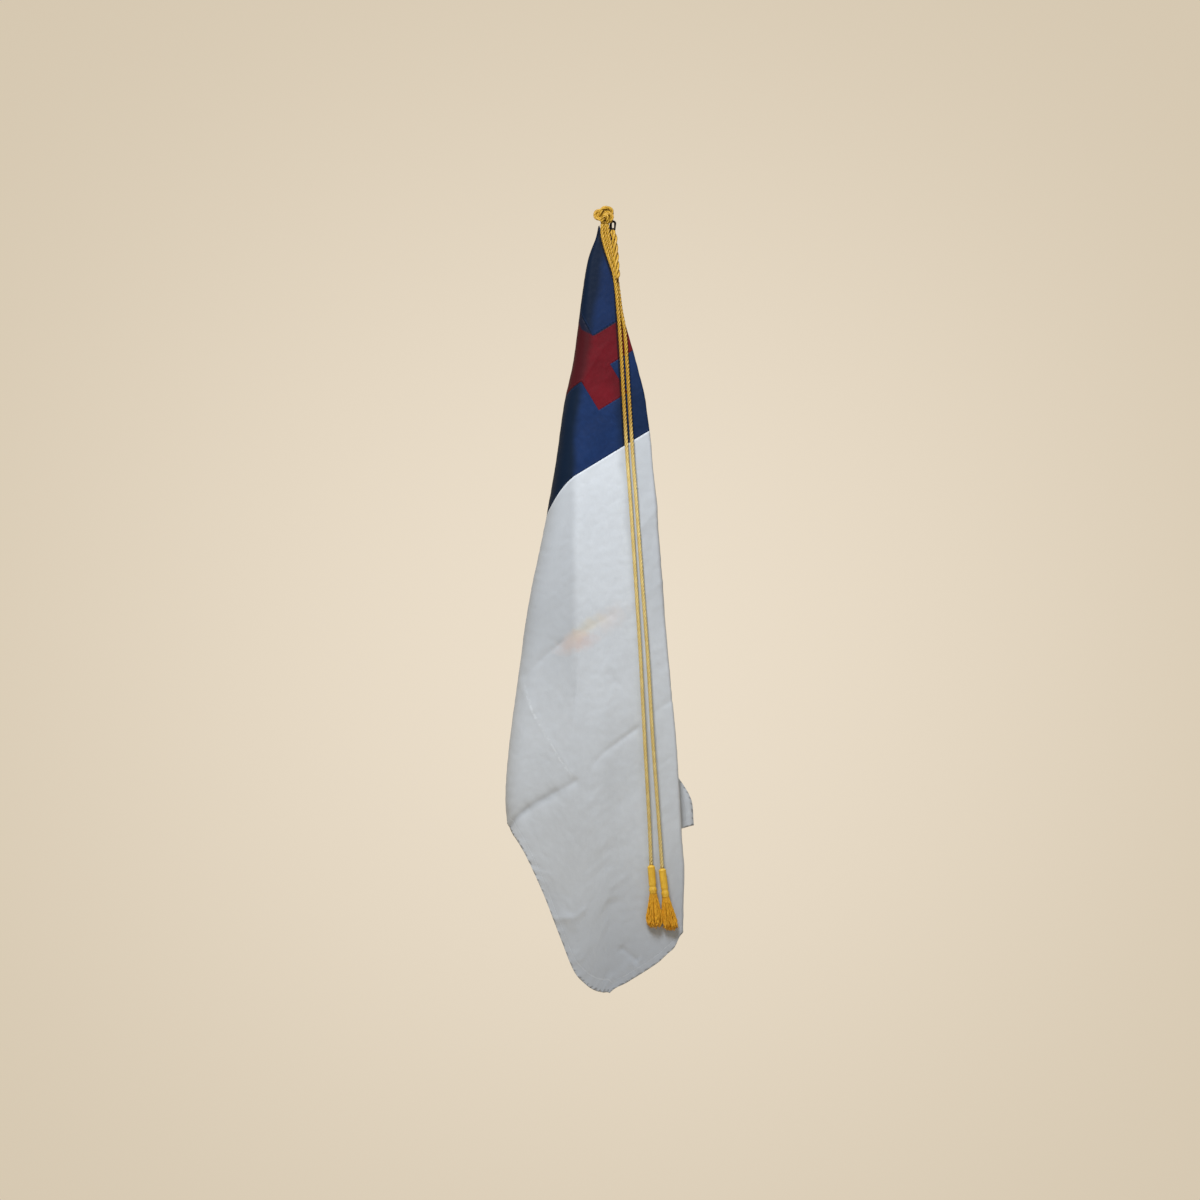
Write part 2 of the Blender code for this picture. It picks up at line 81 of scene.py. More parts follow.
STRETCHES = [Stretch(*row) for row in (
    (0.0, -0.083), (12.0, -0.056), (24.0, -0.036), (25.4, -0.0258),
    (25.9, -0.0145), (26.4, -0.0118), (27.3, -0.0073), (29.6, -0.006),
    (30.9, -0.0064), (31.45, 0.0077), (32.1, 0.0235), (32.8, 0.0357),
    (33.8, 0.045), (35.0, 0.0305), (36.6, 0.008), (38.5, -0.007),
    (39.7, -0.006), (40.9, 0.003), (43.0, -0.006), (60.0, 0.0),
    (90.0, 0.0),
)]
Ridge = namedtuple("Ridge", "degrees width height start end")
RIDGES = (
    Ridge(31.6, 1.3, 0.005, 0.9, 1.72),
    Ridge(36.5, 1.8, 0.004, 0.45, 1.45),
    Ridge(27.4, 1.0, 0.002, 1.25, 1.66),
)

# Creases where the cloth was once folded away, and small ones near the hems. Fly and hoist
# distances of both ends, then half width and how far the crease stands out of the front.
Crease = namedtuple("Crease", "fly_0 hoist_0 fly_1 hoist_1 width height")
CREASES = [Crease(*row) for row in (
    (0.788, 0.705, 0.768, 0.579, 0.009, -0.0036), (0.768, 0.579, 0.776, 0.44, 0.009, -0.0015),
    (0.776, 0.44, 0.768, 0.25, 0.009, 0.0014), (0.792, 0.552, 0.902, 0.627, 0.0045, -0.0026),
    (0.902, 0.63, 0.958, 0.671, 0.0055, -0.0015), (0.815, 0.714, 0.92, 0.728, 0.0055, 0.0016),
    (0.92, 0.728, 1.03, 0.711, 0.0055, 0.0016), (1.037, 0.66, 1.029, 0.536, 0.008, -0.0042),
    (1.02, 0.5, 1.016, 0.43, 0.0085, -0.0024), (1.067, 0.914, 1.063, 0.85, 0.011, -0.009),
    (1.063, 0.85, 1.047, 0.768, 0.01, -0.0082), (1.047, 0.768, 1.038, 0.706, 0.008, -0.0056),
    (1.276, 0.914, 1.267, 0.864, 0.0075, 0.0062), (1.267, 0.864, 1.279, 0.826, 0.0065, 0.0044),
    (1.318, 0.786, 1.309, 0.736, 0.009, 0.002), (1.19, 0.91, 1.196, 0.872, 0.006, 0.002),
    (1.211, 0.91, 1.211, 0.884, 0.006, 0.0018), (0.861, 0.527, 0.889, 0.508, 0.006, 0.0016),
    (0.882, 0.531, 0.926, 0.517, 0.0055, -0.0016), (0.917, 0.532, 0.944, 0.566, 0.006, 0.0016),
    (1.094, 0.708, 1.24, 0.755, 0.02, 0.0041), (1.24, 0.755, 1.336, 0.804, 0.02, 0.0041),
    (1.448, 0.838, 1.494, 0.819, 0.007, -0.0052), (1.482, 0.838, 1.516, 0.828, 0.0045, 0.002),
    (1.488, 0.818, 1.519, 0.809, 0.0045, 0.002), (1.322, 0.909, 1.342, 0.886, 0.005, 0.002),
    (1.344, 0.906, 1.362, 0.884, 0.005, 0.002), (0.6, 0.18, 0.64, 0.3, 0.012, 0.002),
    (0.23, 0.13, 0.33, 0.33, 0.01, 0.0014),
)]

# Slack in the cloth: how high it is, how often it comes across and down the front, and its seed.
# It is full at some way from the corner.
SLACK_FULL = 0.55
SLACK = ((0.0036, 7, 2.4, 1.0), (0.0011, 22, 9, 2.0))
FINE_SLACK, FINEST_SLACK = (0.0006, 55, 3.0), (0.0003, 120, 5.0)
# Hems: how deep they are drawn in at their seam, how far beside it, their puckers, given as slack is,
# by their run and width, and the waves of their edges
HEM_TUCK, HEM_TUCK_WIDE = 0.0003, 0.006
HEM_SLACK = ((0.0013, 48, 15, 9.0), (0.0007, 110, 30, 11.0))
WAVE, WAVE_LONG, WAVE_FROM_CORNER = 0.0013, 0.021, 0.06

# Where each run of cord passes, from the knot down: x, z, and how far it stands off the cloth.
LEFT_RUN = (
    (-0.0062, 0.0023, 0.0035), (-0.0058, -0.023, 0.004), (0.0016, -0.054, 0.006),
    (0.0118, -0.085, 0.009), (0.0206, -0.113, 0.01), (0.0262, -0.151, 0.0098),
    (0.03, -0.1955, 0.008), (0.0338, -0.2415, 0.003), (0.0382, -0.3105, 0.0015),
    (0.0432, -0.4025, 0.0012), (0.0515, -0.5405, 0.0012), (0.0582, -0.6325, 0.0012),
    (0.0705, -0.8165, 0.0014), (0.0819, -1.0005, 0.0018), (0.0912, -1.1845, 0.0028),
    (0.1014, -1.3685, 0.0045), (0.1058, -1.471, 0.0062),
)
RIGHT_RUN = (
    (0.0052, 0.0017, 0.003), (0.008, -0.023, 0.002), (0.0138, -0.054, 0.0008),
    (0.02, -0.085, 0.0005), (0.0258, -0.113, 0.0005), (0.0312, -0.151, 0.0005),
    (0.0368, -0.1955, 0.0005), (0.045, -0.2415, 0.0008), (0.0502, -0.3105, 0.001),
    (0.0557, -0.4025, 0.0012), (0.0645, -0.5405, 0.0012), (0.0716, -0.6325, 0.0012),
    (0.0852, -0.8165, 0.0014), (0.0988, -1.0005, 0.0018), (0.1099, -1.1845, 0.0028),
    (0.1234, -1.3685, 0.0045), (0.1312, -1.479, 0.0062),
)
SHORT_END = (
    (0.016, -0.011, -0.0125), (0.0208, -0.0143, -0.025), (0.0226, -0.0158, -0.045),
    (0.025, -0.0163, -0.068), (0.0262, -0.0194, -0.088), (0.0276, -0.0236, -0.106),
    (0.0284, -0.025, -0.124),
)
KNOT_CENTRE = (-0.0012, -0.009, 0.0228)
KNOT_RING, KNOT_WEAVE, KNOT_WIDE = 0.0122, 0.0052, 1.26
KNOT_CORE_WIDE, KNOT_CORE = 0.0146, ((0.0102, 0.0048), (0.0042, 0.0036))  # its turns' height and how far back
# The knot's bight, from one run up over the knot's front to the other, and its turn behind the runs
KNOT_BIGHT = (
    (-0.0062, -0.0092, 0.0018), (-0.0062, -0.0148, 0.0085), (-0.0042, -0.02, 0.0165),
    (0.0, -0.0218, 0.0222), (0.0046, -0.0202, 0.0172), (0.0063, -0.0146, 0.0085),
    (0.0053, -0.0088, 0.0016),
)
BEHIND_RUNS = (
    (-0.0008, -0.0075, 0.013), (-0.0004, -0.0058, 0.001), (0.0011, -0.005, -0.023),
    (0.0077, -0.0048, -0.054), (0.014, -0.0048, -0.085),
)
SOLID_CLOTH, TOUCH = 0.0012, 0.0003  # of the solids that the cord was laid on

# Tassels: x and z at the top of the head, at its collar and in the middle of the skirt's foot.
Tassel = namedtuple("Tassel", "name top collar foot seed")
TASSELS = (
    Tassel("tassel_left", (0.1058, -1.4718), (0.1106, -1.534), (0.1138, -1.6172), 3),
    Tassel("tassel_right", (0.1312, -1.4798), (0.139, -1.542), (0.1514, -1.6235), 8),
)
# The heads' waist, collar and crown: how much they stand out, where down the head, and how long
HEAD_SWELLS = ((-0.1, 0.8, 0.05), (0.12, 0.92, 0.065), (0.1, 0.06, 0.03))

OFF_CLOTH = 0.0025  # the tassels
# A head's length, of the way from its top to its collar; where its ribs end and its bound cuff starts
HEAD_LONG, RIBBED, CUFF = 1.05, 0.76, 0.8
STRAND_WIDE, STRAND_FLAT = 0.00135, 0.24

# From one thread of the weave, of the short end's binding or of a head's cuff to the next
THREAD, BINDING, CUFF_THREAD = 0.0011, 0.0016, 0.0022
# Old stains: where on the flat flag, how far they reach, how strong they are, and their colour
STAINS = (
    ((0.769, 0.513), (0.018, 0.05), 0.34, (208, 202, 172)),
    ((0.779, 0.462), (0.028, 0.056), 0.26, (212, 198, 192)),
    ((0.781, 0.56), (0.024, 0.042), 0.36, (206, 176, 160)),
    ((0.798, 0.532), (0.018, 0.028), 0.24, (206, 172, 162)),
)


def linear(red, green, blue):
    """A colour as a screen shows it, out of 255, as light."""
    def one(value):
        value /= 255
        return value / 12.92 if value <= 0.04045 else ((value + 0.055) / 1.055) ** 2.4
    return one(red), one(green), one(blue)


def length_prop(name, description, value):
    return bpy.props.FloatProperty(
        name=name, description=description, default=value, subtype="DISTANCE", unit="LENGTH"
    )


def number_prop(name, description, value):
    return bpy.props.FloatProperty(name=name, description=description, default=value, min=0)


def colour_prop(name, description, *on_screen):
    return bpy.props.FloatVectorProperty(
        name=name, description=description, default=linear(*on_screen), size=3, min=0, max=1, subtype="COLOR"
    )


class ClothSizes(bpy.types.PropertyGroup):
    fly: length_prop("Fly", "Length of the flag from hoist to fly edge", 1.524)
    hoist: length_prop("Hoist", "Height of the flag along its hoist", 0.914)
    canton_fly: length_prop("Canton fly", "Width of the canton", 0.457)
    canton_hoist: length_prop("Canton hoist", "Height of the canton", 0.533)
    cross_fly: length_prop("Cross fly", "Middle of the cross from the hoist", 0.241)
    cross_hoist: length_prop("Cross hoist", "Middle of the cross from the top edge", 0.195)
    arm: length_prop("Arm", "Width of the cross's arms", 0.077)
    long_arm: length_prop("Long arm", "Length of the cross's lower arm", 0.2)
    thick: length_prop("Thickness", "Thickness of the nylon", 0.0006)
    hem: length_prop("Hem", "Width of the hems", 0.018)
    rows: bpy.props.IntProperty(name="Rows", description="Rows of the cloth's mesh", default=410, min=20)
    white: colour_prop("White", "Colour of the field", 199, 207, 217)
    navy: colour_prop("Navy", "Colour of the canton", 22, 46, 90)
    red: colour_prop("Red", "Colour of the cross", 104, 18, 30)


class CordSizes(bpy.types.PropertyGroup):
    across: length_prop("Diameter", "Diameter of the cord", 0.009)
    pitch: length_prop("Pitch", "Length of one turn of the cord's twist", 0.027)
    loosened: number_prop("Loosened", "How much wider the twist of the short end is", 1.52)
    ring_step: length_prop("Step", "Distance between rings of the cord's mesh", 0.0022)
    fine_step: length_prop("Fine step", "The same for the cord round the knot", 0.0016)
    gold: colour_prop("Gold", "Colour of the cord", 242, 222, 150)
    fresh_gold: colour_prop("Fresh gold", "Colour of the cord where light has not faded it", 190, 152, 52)
    deep_gold: colour_prop("Deep gold", "Colour of the tassels' heads", 252, 208, 72)
    skirt_gold: colour_prop("Skirt gold", "Colour of the tassels' skirts", 248, 190, 54)
    head: length_prop("Head", "Radius of a tassel's head", 0.0082)
    skirt_wide: length_prop("Skirt width", "Half the width of a skirt at its foot", 0.0205)
    skirt_deep: length_prop("Skirt depth", "Half the depth of a skirt at its foot", 0.008)
    strands: bpy.props.IntProperty(name="Strands", description="Strands in each tassel", default=96, min=10)


class TabSizes(bpy.types.PropertyGroup):
    thick: length_prop("Thickness", "Thickness of the leather", 0.0024)
    slot_wide: length_prop("Slot width", "Half the width of the slot", 0.0023)
    slot_tall: length_prop("Slot height", "Half the height of the slot", 0.0063)
    rim: length_prop("Rim", "Width of leather round the slot", 0.0052)
    tail: length_prop("Tail", "Length of the sewn tail", 0.03)
    leather: colour_prop("Leather", "Colour of the leather", 19, 12, 10)


class StageSizes(bpy.types.PropertyGroup):
    paper: colour_prop("Backdrop", "Colour of the floor and of the middle of the air", 235, 222, 202)
    paper_edge: colour_prop("Backdrop edge", "Colour of the air towards the sides", 214, 200, 177)
    view_across: length_prop("View", "Width of the camera's view at the flag", 2.76)
    view_middle: bpy.props.FloatVectorProperty(
        name="Middle", description="Middle of the camera's view at the flag", default=(-0.0115, 0.0, -0.8625),
        size=3, subtype="TRANSLATION",
    )
    away: length_prop("Distance", "Distance of the camera", 14.0)
    floor: length_prop("Floor", "Height of the floor", -2.6)
    floor_radius: length_prop("Floor radius", "Radius of the floor", 3.0)
    key: number_prop("Key light", "Strength of the main light", 70)
    fill: number_prop("Fill light", "Strength of the light from the right", 8)
    air_behind: number_prop("Air behind", "Light from behind the flag", 1.0)
    air_before: number_prop("Air before", "Light from before the flag", 0.3)


# Numbers along tables and bands

def smooth(table, column, at):
    """A column of a table at a value of its first column, on a curve through the rows."""
    keys = [row[0] for row in table]
    values = [getattr(row, column) for row in table]
    at = min(max(at, keys[0]), keys[-1])
    i = max(j for j in range(len(keys) - 1) if keys[j] <= at)

    def slope(j):
        a, b = max(j - 1, 0), min(j + 1, len(keys) - 1)
        return (values[b] - values[a]) / (keys[b] - keys[a])

    step = keys[i + 1] - keys[i]
    t = (at - keys[i]) / step
    return (
        values[i] * (1 + 2 * t) * (1 - t) ** 2
        + values[i + 1] * t * t * (3 - 2 * t)
        + slope(i) * step * t * (1 - t) ** 2
        - slope(i + 1) * step * t * t * (1 - t)
    )


def ease(t):
    t = min(max(t, 0.0), 1.0)
    return t * t * (3 - 2 * t)


def stretches(stops):
    """The lines and arcs of a band seen from above, round its stops, each as its length, its
    start, its heading and its bend."""
    headings = []
    for a, b in zip(stops, stops[1:]):
        across, along = b[1] - a[1], b[0] - a[0]
        offset = b[3] * b[2] - a[3] * a[2]
        headings.append(atan2(across, along) - asin(offset / hypot(across, along)))
    x, y = stops[0][0], stops[0][1]
    result = []
    for i, heading in enumerate(headings):
        cx, cy, radius, spin = stops[i + 1]
        end_x = cx + spin * radius * sin(heading)
        end_y = cy - spin * radius * cos(heading)
        result.append((hypot(end_x - x, end_y - y), x, y, heading, 0.0))
        if i + 1 < len(headings):
            turn = (spin * (headings[i + 1] - heading)) % tau
            result.append((turn * radius, end_x, end_y, heading, spin / radius))
            x = cx + spin * radius * sin(headings[i + 1])
            y = cy - spin * radius * cos(headings[i + 1])
    return result


def along(path, distance):
    """The point of a band at a distance from its start, past its end if need be."""
    for length, x, y, heading, bend in path[:-1]:
        if distance <= length:
            break
        distance -= length
    else:
        length, x, y, heading, bend = path[-1]
    if bend:
        turned = heading + bend * distance
        return (
            x + (sin(turned) - sin(heading)) / bend,
            y - (cos(turned) - cos(heading)) / bend,
        )
    return x + cos(heading) * distance, y + sin(heading) * distance


def fold_radius(distance):
    return FOLD_AT_TOP + (FOLD_BELOW - FOLD_AT_TOP) * ease(distance / FULL_FOLD)


def bands(distance):
    """The cloth's right and left halves at a distance from the corner, seen from above."""
    reach = Reach(*(smooth(REACHES, column, distance) for column in Reach._fields))
    fold = fold_radius(distance)
    edge = 0.7 * fold
    layer_1, layer_2 = 2 * edge, 2 * edge + 2 * fold
    roll = max(reach.roll, layer_2 / 2 + fold)
    layer_3 = max(layer_2 + fold, 0.8 * roll)
    behind = roll + 1.25 * fold
    away = 1.02 * (behind + fold)
    outer = roll - reach.left
    right = (
        (0.0, 0.0, 0.0, 1),
        (reach.right - edge, edge, edge, 1),
        (reach.tuck + fold, layer_1 + fold, fold, -1),
        (reach.right + 1.0, layer_2, 0.0, 1),
    )
    left = (
        (0.0, 0.0, 0.0, 1),
        (outer, roll, roll, -1),
        (reach.back_right - fold, layer_3 + fold, fold, 1),
        (outer, roll, behind, 1),
        (outer + away * cos(BACK_FOLD), roll + away * sin(BACK_FOLD), fold, -1),
        (outer, roll, 0.99 * (behind + 2 * fold), -1),
        (reach.back_right + 0.1, layer_3 + 3.0 * fold, 0.0, 1),
    )
    return stretches(right), stretches(left)


def front(x):
    """How far back the middle of the front cloth is at x."""
    return BOW * x * x


def wobble(x, y, z):
    """Even noise, about 0 in the middle."""
    return noise.noise(Vector((x, y, z)))


# Cloth

RIGHT_STEPS = (44, 8, 20, 8, 22)
LEFT_STEPS = (44, 18, 22, 8, 18, 8, 4, 10, 4, 10, 16)


class Drape:
    """The whole cloth as a grid: flat, with the place where each point hangs kept beside it."""

    def __init__(self, sizes):
        self.sizes = sizes
        bm = bmesh.new()
        across = sum(RIGHT_STEPS) + sum(LEFT_STEPS)
        hung = bm.verts.layers.float_vector.new("hung")
        made = bmesh.ops.create_grid(bm, x_segments=sizes.rows, y_segments=across, size=0.5)
        rows = [self.row(i / sizes.rows) for i in range(sizes.rows + 1)]
        spare = []
        for vert in made["verts"]:
            i, j = round((vert.co.x + 0.5) * sizes.rows), round((vert.co.y + 0.5) * across)
            vert.index = i * (across + 1) + j
            _, vert.co, angle = rows[i][j]
            if not -SPARE <= angle <= pi / 2 + SPARE:
                spare.append(vert)
        bm.normal_update()
        middle = min(made["verts"], key=lambda v: (v.co - Vector((0, 0, -1))).length)
        facing = -1 if middle.normal.y > 0 else 1
        for vert in made["verts"]:
            i, j = divmod(vert.index, across + 1)
            flat, place, _ = rows[i][j]
            vert[hung] = place + vert.normal * facing * self.relief(flat.x, flat.y)
            vert.co = flat
        bmesh.ops.delete(bm, geom=spare, context="VERTS")
        for vert in [v for v in bm.verts if not v.link_faces]:
            bm.verts.remove(vert)
        self.mesh = bpy.data.meshes.new("whole_cloth")
        bm.to_mesh(self.mesh)
        bm.free()

    def row(self, share):
        """Flat place, hung place and angle of every point at one distance from the corner."""
        sizes = self.sizes
        longest = hypot(sizes.fly, sizes.hoist) + 0.012
        distance = BUNCHED + (longest - BUNCHED) * share ** 1.12
        right, left = bands(distance)
        to_top = distance * (PLUMB_ANGLE + PAST_EDGE)
        to_hoist = distance * (pi / 2 + PAST_EDGE - PLUMB_ANGLE)
        result = []
        for side, path, points in (
            (-1, right, self.stations(right, to_top, RIGHT_STEPS)[::-1]),
            (1, left, [0.0] + self.stations(left, to_hoist, LEFT_STEPS)),
        ):
            for point in points:
                angle = PLUMB_ANGLE + side * point / distance
                flat = Vector((distance * cos(angle), distance * sin(angle), 0.0))
                result.append((flat, self.hung(distance, angle, path, point), angle))
        return result

    @staticmethod
    def stations(path, reach_to, steps):
        """Distances along a band at which the sheet has its points."""
        result, start = [], 0.0
        for i, (length, *_rest) in enumerate(path):
            if i == len(path) - 1:
                length = max(reach_to - start, fold_radius(0.0))
            result += [start + length * k / steps[i] for k in range(1, steps[i] + 1)]
            start += length
        return result

    def hung(self, distance, angle, path, along_path):
        """Where a point of the cloth hangs."""
        x, y = along(path, along_path)
        y += front(x)
        below_edge = degrees(angle)
        for ridge in RIDGES:
            off = (below_edge - ridge.degrees) / ridge.width
            if abs(off) < 4:
                done = min(max((distance - ridge.start) / (ridge.end - ridge.start), 0.0), 1.0)
                y -= ridge.height * sin(pi * done) * exp(-off * off)
        share = smooth(STRETCHES, "share", below_edge)
        hem = min(self.sizes.fly / max(cos(angle), 1e-6), self.sizes.hoist / max(sin(angle), 1e-6))
        done = (distance / hem - STRETCH_FROM) / (1 - STRETCH_FROM)
        drop = distance * (1 + share * ease(done))
        if angle > PLUMB_ANGLE:
            beside = ease((along_path - SAG.beside) / (SAG.fully_beside - SAG.beside))
            drop += SAG.drop * beside * (1 - ease(abs(distance - SAG.distance) / SAG.reach))
        return Vector((x, y, -sqrt(max(drop * drop - x * x - y * y, 0.0))))

    def relief(self, fly, hoist):
        """How far the cloth stands out of its smooth drape: creases, slack, and puckered hems."""
        sizes = self.sizes
        rise = 0.0
        for c in CREASES:
            run_x, run_y = c.fly_1 - c.fly_0, c.hoist_1 - c.hoist_0
            run = hypot(run_x, run_y)
            t = ((fly - c.fly_0) * run_x + (hoist - c.hoist_0) * run_y) / (run * run)
            if not -0.2 < t < 1.2:
                continue
            off = ((fly - c.fly_0) * run_y - (hoist - c.hoist_0) * run_x) / run
            off += 0.002 * wobble(t * run * 30, 0.0, 4.0)
            if abs(off) > 6 * c.width:
                continue
            ends = ease((t + 0.1) / 0.2) * ease((1.1 - t) / 0.2)
            strong = 0.75 + 0.5 * wobble(t * run * 22, off * 9, 7.0)
            rise += c.height * strong * ends * exp(-abs(off) / c.width)
        loose = ease(hypot(fly, hoist) / SLACK_FULL)
        across, down = fly * 0.854 - hoist * 0.52, fly * 0.52 + hoist * 0.854  # of the hung front
        for height, often, often_down, seed in SLACK:
            rise += loose * height * wobble(across * often, down * often_down, seed)
        for share, (height, often, seed) in ((loose, FINE_SLACK), (1, FINEST_SLACK)):
            rise += share * height * wobble(fly * often, hoist * often, seed)
        hem = min(fly, sizes.fly - fly, hoist, sizes.hoist - hoist)
        if hem < 3 * sizes.hem:
            run = hoist if min(fly, sizes.fly - fly) < min(hoist, sizes.hoist - hoist) else fly
            rise -= HEM_TUCK * exp(-((hem - sizes.hem) / HEM_TUCK_WIDE) ** 2)
            rise += loose * ease(1 - hem / (2.5 * sizes.hem)) * sum(
                height * wobble(run * often, hem * often_in, seed)
                for height, often, often_in, seed in HEM_SLACK
            )
            wave = sin(run * tau / WAVE_LONG + 4 * wobble(run * 9, 0.0, 13.0))
            wave *= max(0.45 + 1.6 * wobble(run * 7, 1.5, 17.0), 0.1)
            corner = hypot(min(fly, sizes.fly - fly), min(hoist, sizes.hoist - hoist))
            rise += loose * WAVE * ease(1 - hem / sizes.hem) * ease(corner / WAVE_FROM_CORNER) * wave
        return rise

    def cut(self, outline, holes):
        """One cloth of the flag: the whole cut along its outline and its holes, and hung."""
        bm = bmesh.new()
        bm.from_mesh(self.mesh)
        for box in (*outline, *holes):
            for k, value in enumerate(box):
                near = [face for face in bm.faces if inside(face.calc_center_median(), box, 0.03)]
                edges = {edge for face in near for edge in face.edges}
                verts = {vert for face in near for vert in face.verts}
                bmesh.ops.bisect_plane(
                    bm, geom=[*verts, *edges, *near], dist=1e-6,
                    plane_co=(value, 0, 0) if k < 2 else (0, value, 0),
                    plane_no=(1, 0, 0) if k < 2 else (0, 1, 0),
                )
        middles = [(face, face.calc_center_median()) for face in bm.faces]
        spare = [
            face for face, middle in middles
            if not any(inside(middle, box) for box in outline) or any(inside(middle, box) for box in holes)
        ]
        bmesh.ops.delete(bm, geom=spare, context="FACES")
        flat = bm.loops.layers.uv.new("flat")
        hung = bm.verts.layers.float_vector["hung"]
        for face in bm.faces:
            for loop in face.loops:
                loop[flat].uv = loop.vert.co.xy
        for vert in bm.verts:
            vert.co = vert[hung]
        bm.verts.layers.float_vector.remove(hung)
        return bm


def inside(point, box, margin=0.0):
    left, right, low, high = box
    return left - margin < point.x < right + margin and low - margin < point.y < high + margin


# Meshes

def placed(name, data, place=(0, 0, 0)):
    """A new object in the scene."""
    made = bpy.data.objects.new(name, data)
    made.location = place
    bpy.context.collection.objects.link(made)
    return made


def meshed(name, bm, finish):
    """The finished mesh as an object at the origin."""
    mesh = bpy.data.meshes.new(name)
    bm.to_mesh(mesh)
    bm.free()
    mesh.shade_smooth()
    mesh.materials.append(finish)
    return placed(name, mesh)


def piece(name, bm, finish, node, thick=0.0):
    """A piece of the flag. It rides on the one body, and takes the place of a node of the solids.
    A sheet is given its thickness."""
    made = meshed(name, bm, finish)
    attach(made, "root")
    if thick:
        solid = made.modifiers.new("cloth", "SOLIDIFY")
        solid.thickness = thick
        solid.offset = 0.0
    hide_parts(node)
    return made


def wrapped(bm, steps, sides, place):
    """A tube: a grid rolled up so that place says where each point is, by its shares along and
    around. Its UV map holds the numbers that place gives back with the point."""
    flat = bm.loops.layers.uv.verify()
    made = bmesh.ops.create_grid(bm, x_segments=steps, y_segments=sides, size=0.5)["verts"]
    for vert in made:
        vert.co, uv = place(vert.co.x + 0.5, vert.co.y + 0.5)
        for loop in vert.link_loops:
            loop[flat].uv = uv
    bmesh.ops.remove_doubles(bm, verts=made, dist=2e-7)


def turned(turn, side, third):
    """The direction at a turn from one side towards a third direction."""
    return side * cos(turn) + third * sin(turn)


def distances(points):
    """How far along its path each point is."""
    return list(accumulate(((b - a).length for a, b in zip(points, points[1:])), initial=0.0))


def through(points, step):
    """Points about a step apart, on a smooth curve through the given ones."""
    points = [Vector(point) for point in points]
    ends = [2 * points[0] - points[1], *points, 2 * points[-1] - points[-2]]
    lengths = distances(points)
    count = max(12, round(lengths[-1] / step))
    result = []
    for k in range(count):
        at = lengths[-1] * k / (count - 1)
        i = max(j for j in range(len(points) - 1) if lengths[j] <= at)
        t = (at - lengths[i]) / (lengths[i + 1] - lengths[i])
        a, b, c, d = ends[i:i + 4]
        bend = (2 * a - 5 * b + 4 * c - d) * t * t + (3 * b - a - 3 * c + d) * t ** 3
        result.append(0.5 * (2 * b + (c - a) * t + bend))
    return result


class Twist:
    """A three-strand cord along a path, with frames that turn as little as they can."""

    def __init__(self, points, across, pitch, closed=False, strand=0.492):
        self.points, self.closed, self.pitch = points, closed, pitch
        self.strand = across / 2 * strand
        self.ring = across / 2 - self.strand
        self.lengths = distances(points)
        side = Vector((1, 0, 0))
        self.sides = []
        for i in range(len(points)):
            ahead = self.ahead(i)
            side = (side - ahead * side.dot(ahead)).normalized()
            self.sides.append(side)

    def ahead(self, i):
        """The way the path goes at one of its points."""
        last = len(self.points) - 1
        a, b = (1, last - 1) if self.closed and i in (0, last) else (min(i + 1, last), max(i - 1, 0))
        return (self.points[a] - self.points[b]).normalized()

    def add(self, bm, sides=9, start=0.0, turns=None, shrink=0.0):
        """Adds the strands to a mesh. shrink draws them in at both ends."""
        last = len(self.points) - 1
        total = self.lengths[-1]
        turn_rate = tau / self.pitch if turns is None else tau * turns / total
        for k in range(3):
            centres = []
            for i, (point, side, at) in enumerate(zip(self.points, self.sides, self.lengths)):
                turn = start + turn_rate * at + tau * k / 3
                out = turned(turn, side, self.ahead(i).cross(side))
                draw = 1 - shrink * (1 - ease(min(at, total - at) / 0.006))
                centres.append((point + out * self.ring * draw, out, draw))

            def place(share, around):
                i = round(share * last)
                middle, out, draw = centres[i]
                ahead = (centres[min(i + 1, last)][0] - centres[max(i - 1, 0)][0]).normalized()
                third = ahead.cross(out).normalized()
                offset = turned(tau * (around % 1.0), out, third)
                return middle + offset * self.strand * draw, (self.lengths[i], around + k)

            wrapped(bm, last, sides, place)

    def bind(self, bm, first, radius):
        """Winds thread round the cord, from one of its points to its end."""
        last = len(self.points) - 1
        long = self.lengths[last] - self.lengths[first]

        def place(share, around):
            i = min(first + int(share * (last - first)), last - 1)
            t = first + share * (last - first) - i
            out = turned(tau * (around % 1.0), self.sides[i], self.ahead(i).cross(self.sides[i]))
            body = 0.8 + 0.2 * ease(min(share, 1 - share) / 0.12)
            wide = radius * body * (1 + 0.06 * cos(tau * share * long / BINDING))
            return self.points[i].lerp(self.points[i + 1], t) + out * wide, (share * long, 0.0)

        wrapped(bm, 60, 24, place)


def close_ends(bm):
    """Fills every open end, and turns all faces outwards."""
    bmesh.ops.holes_fill(bm, edges=[edge for edge in bm.edges if edge.is_boundary])
    bmesh.ops.recalc_face_normals(bm, faces=bm.faces[:])


# Finishes

def times(colour, share, more=0.0):
    """A colour made lighter or darker."""
    return tuple(min(c * share + more, 1.0) for c in colour)


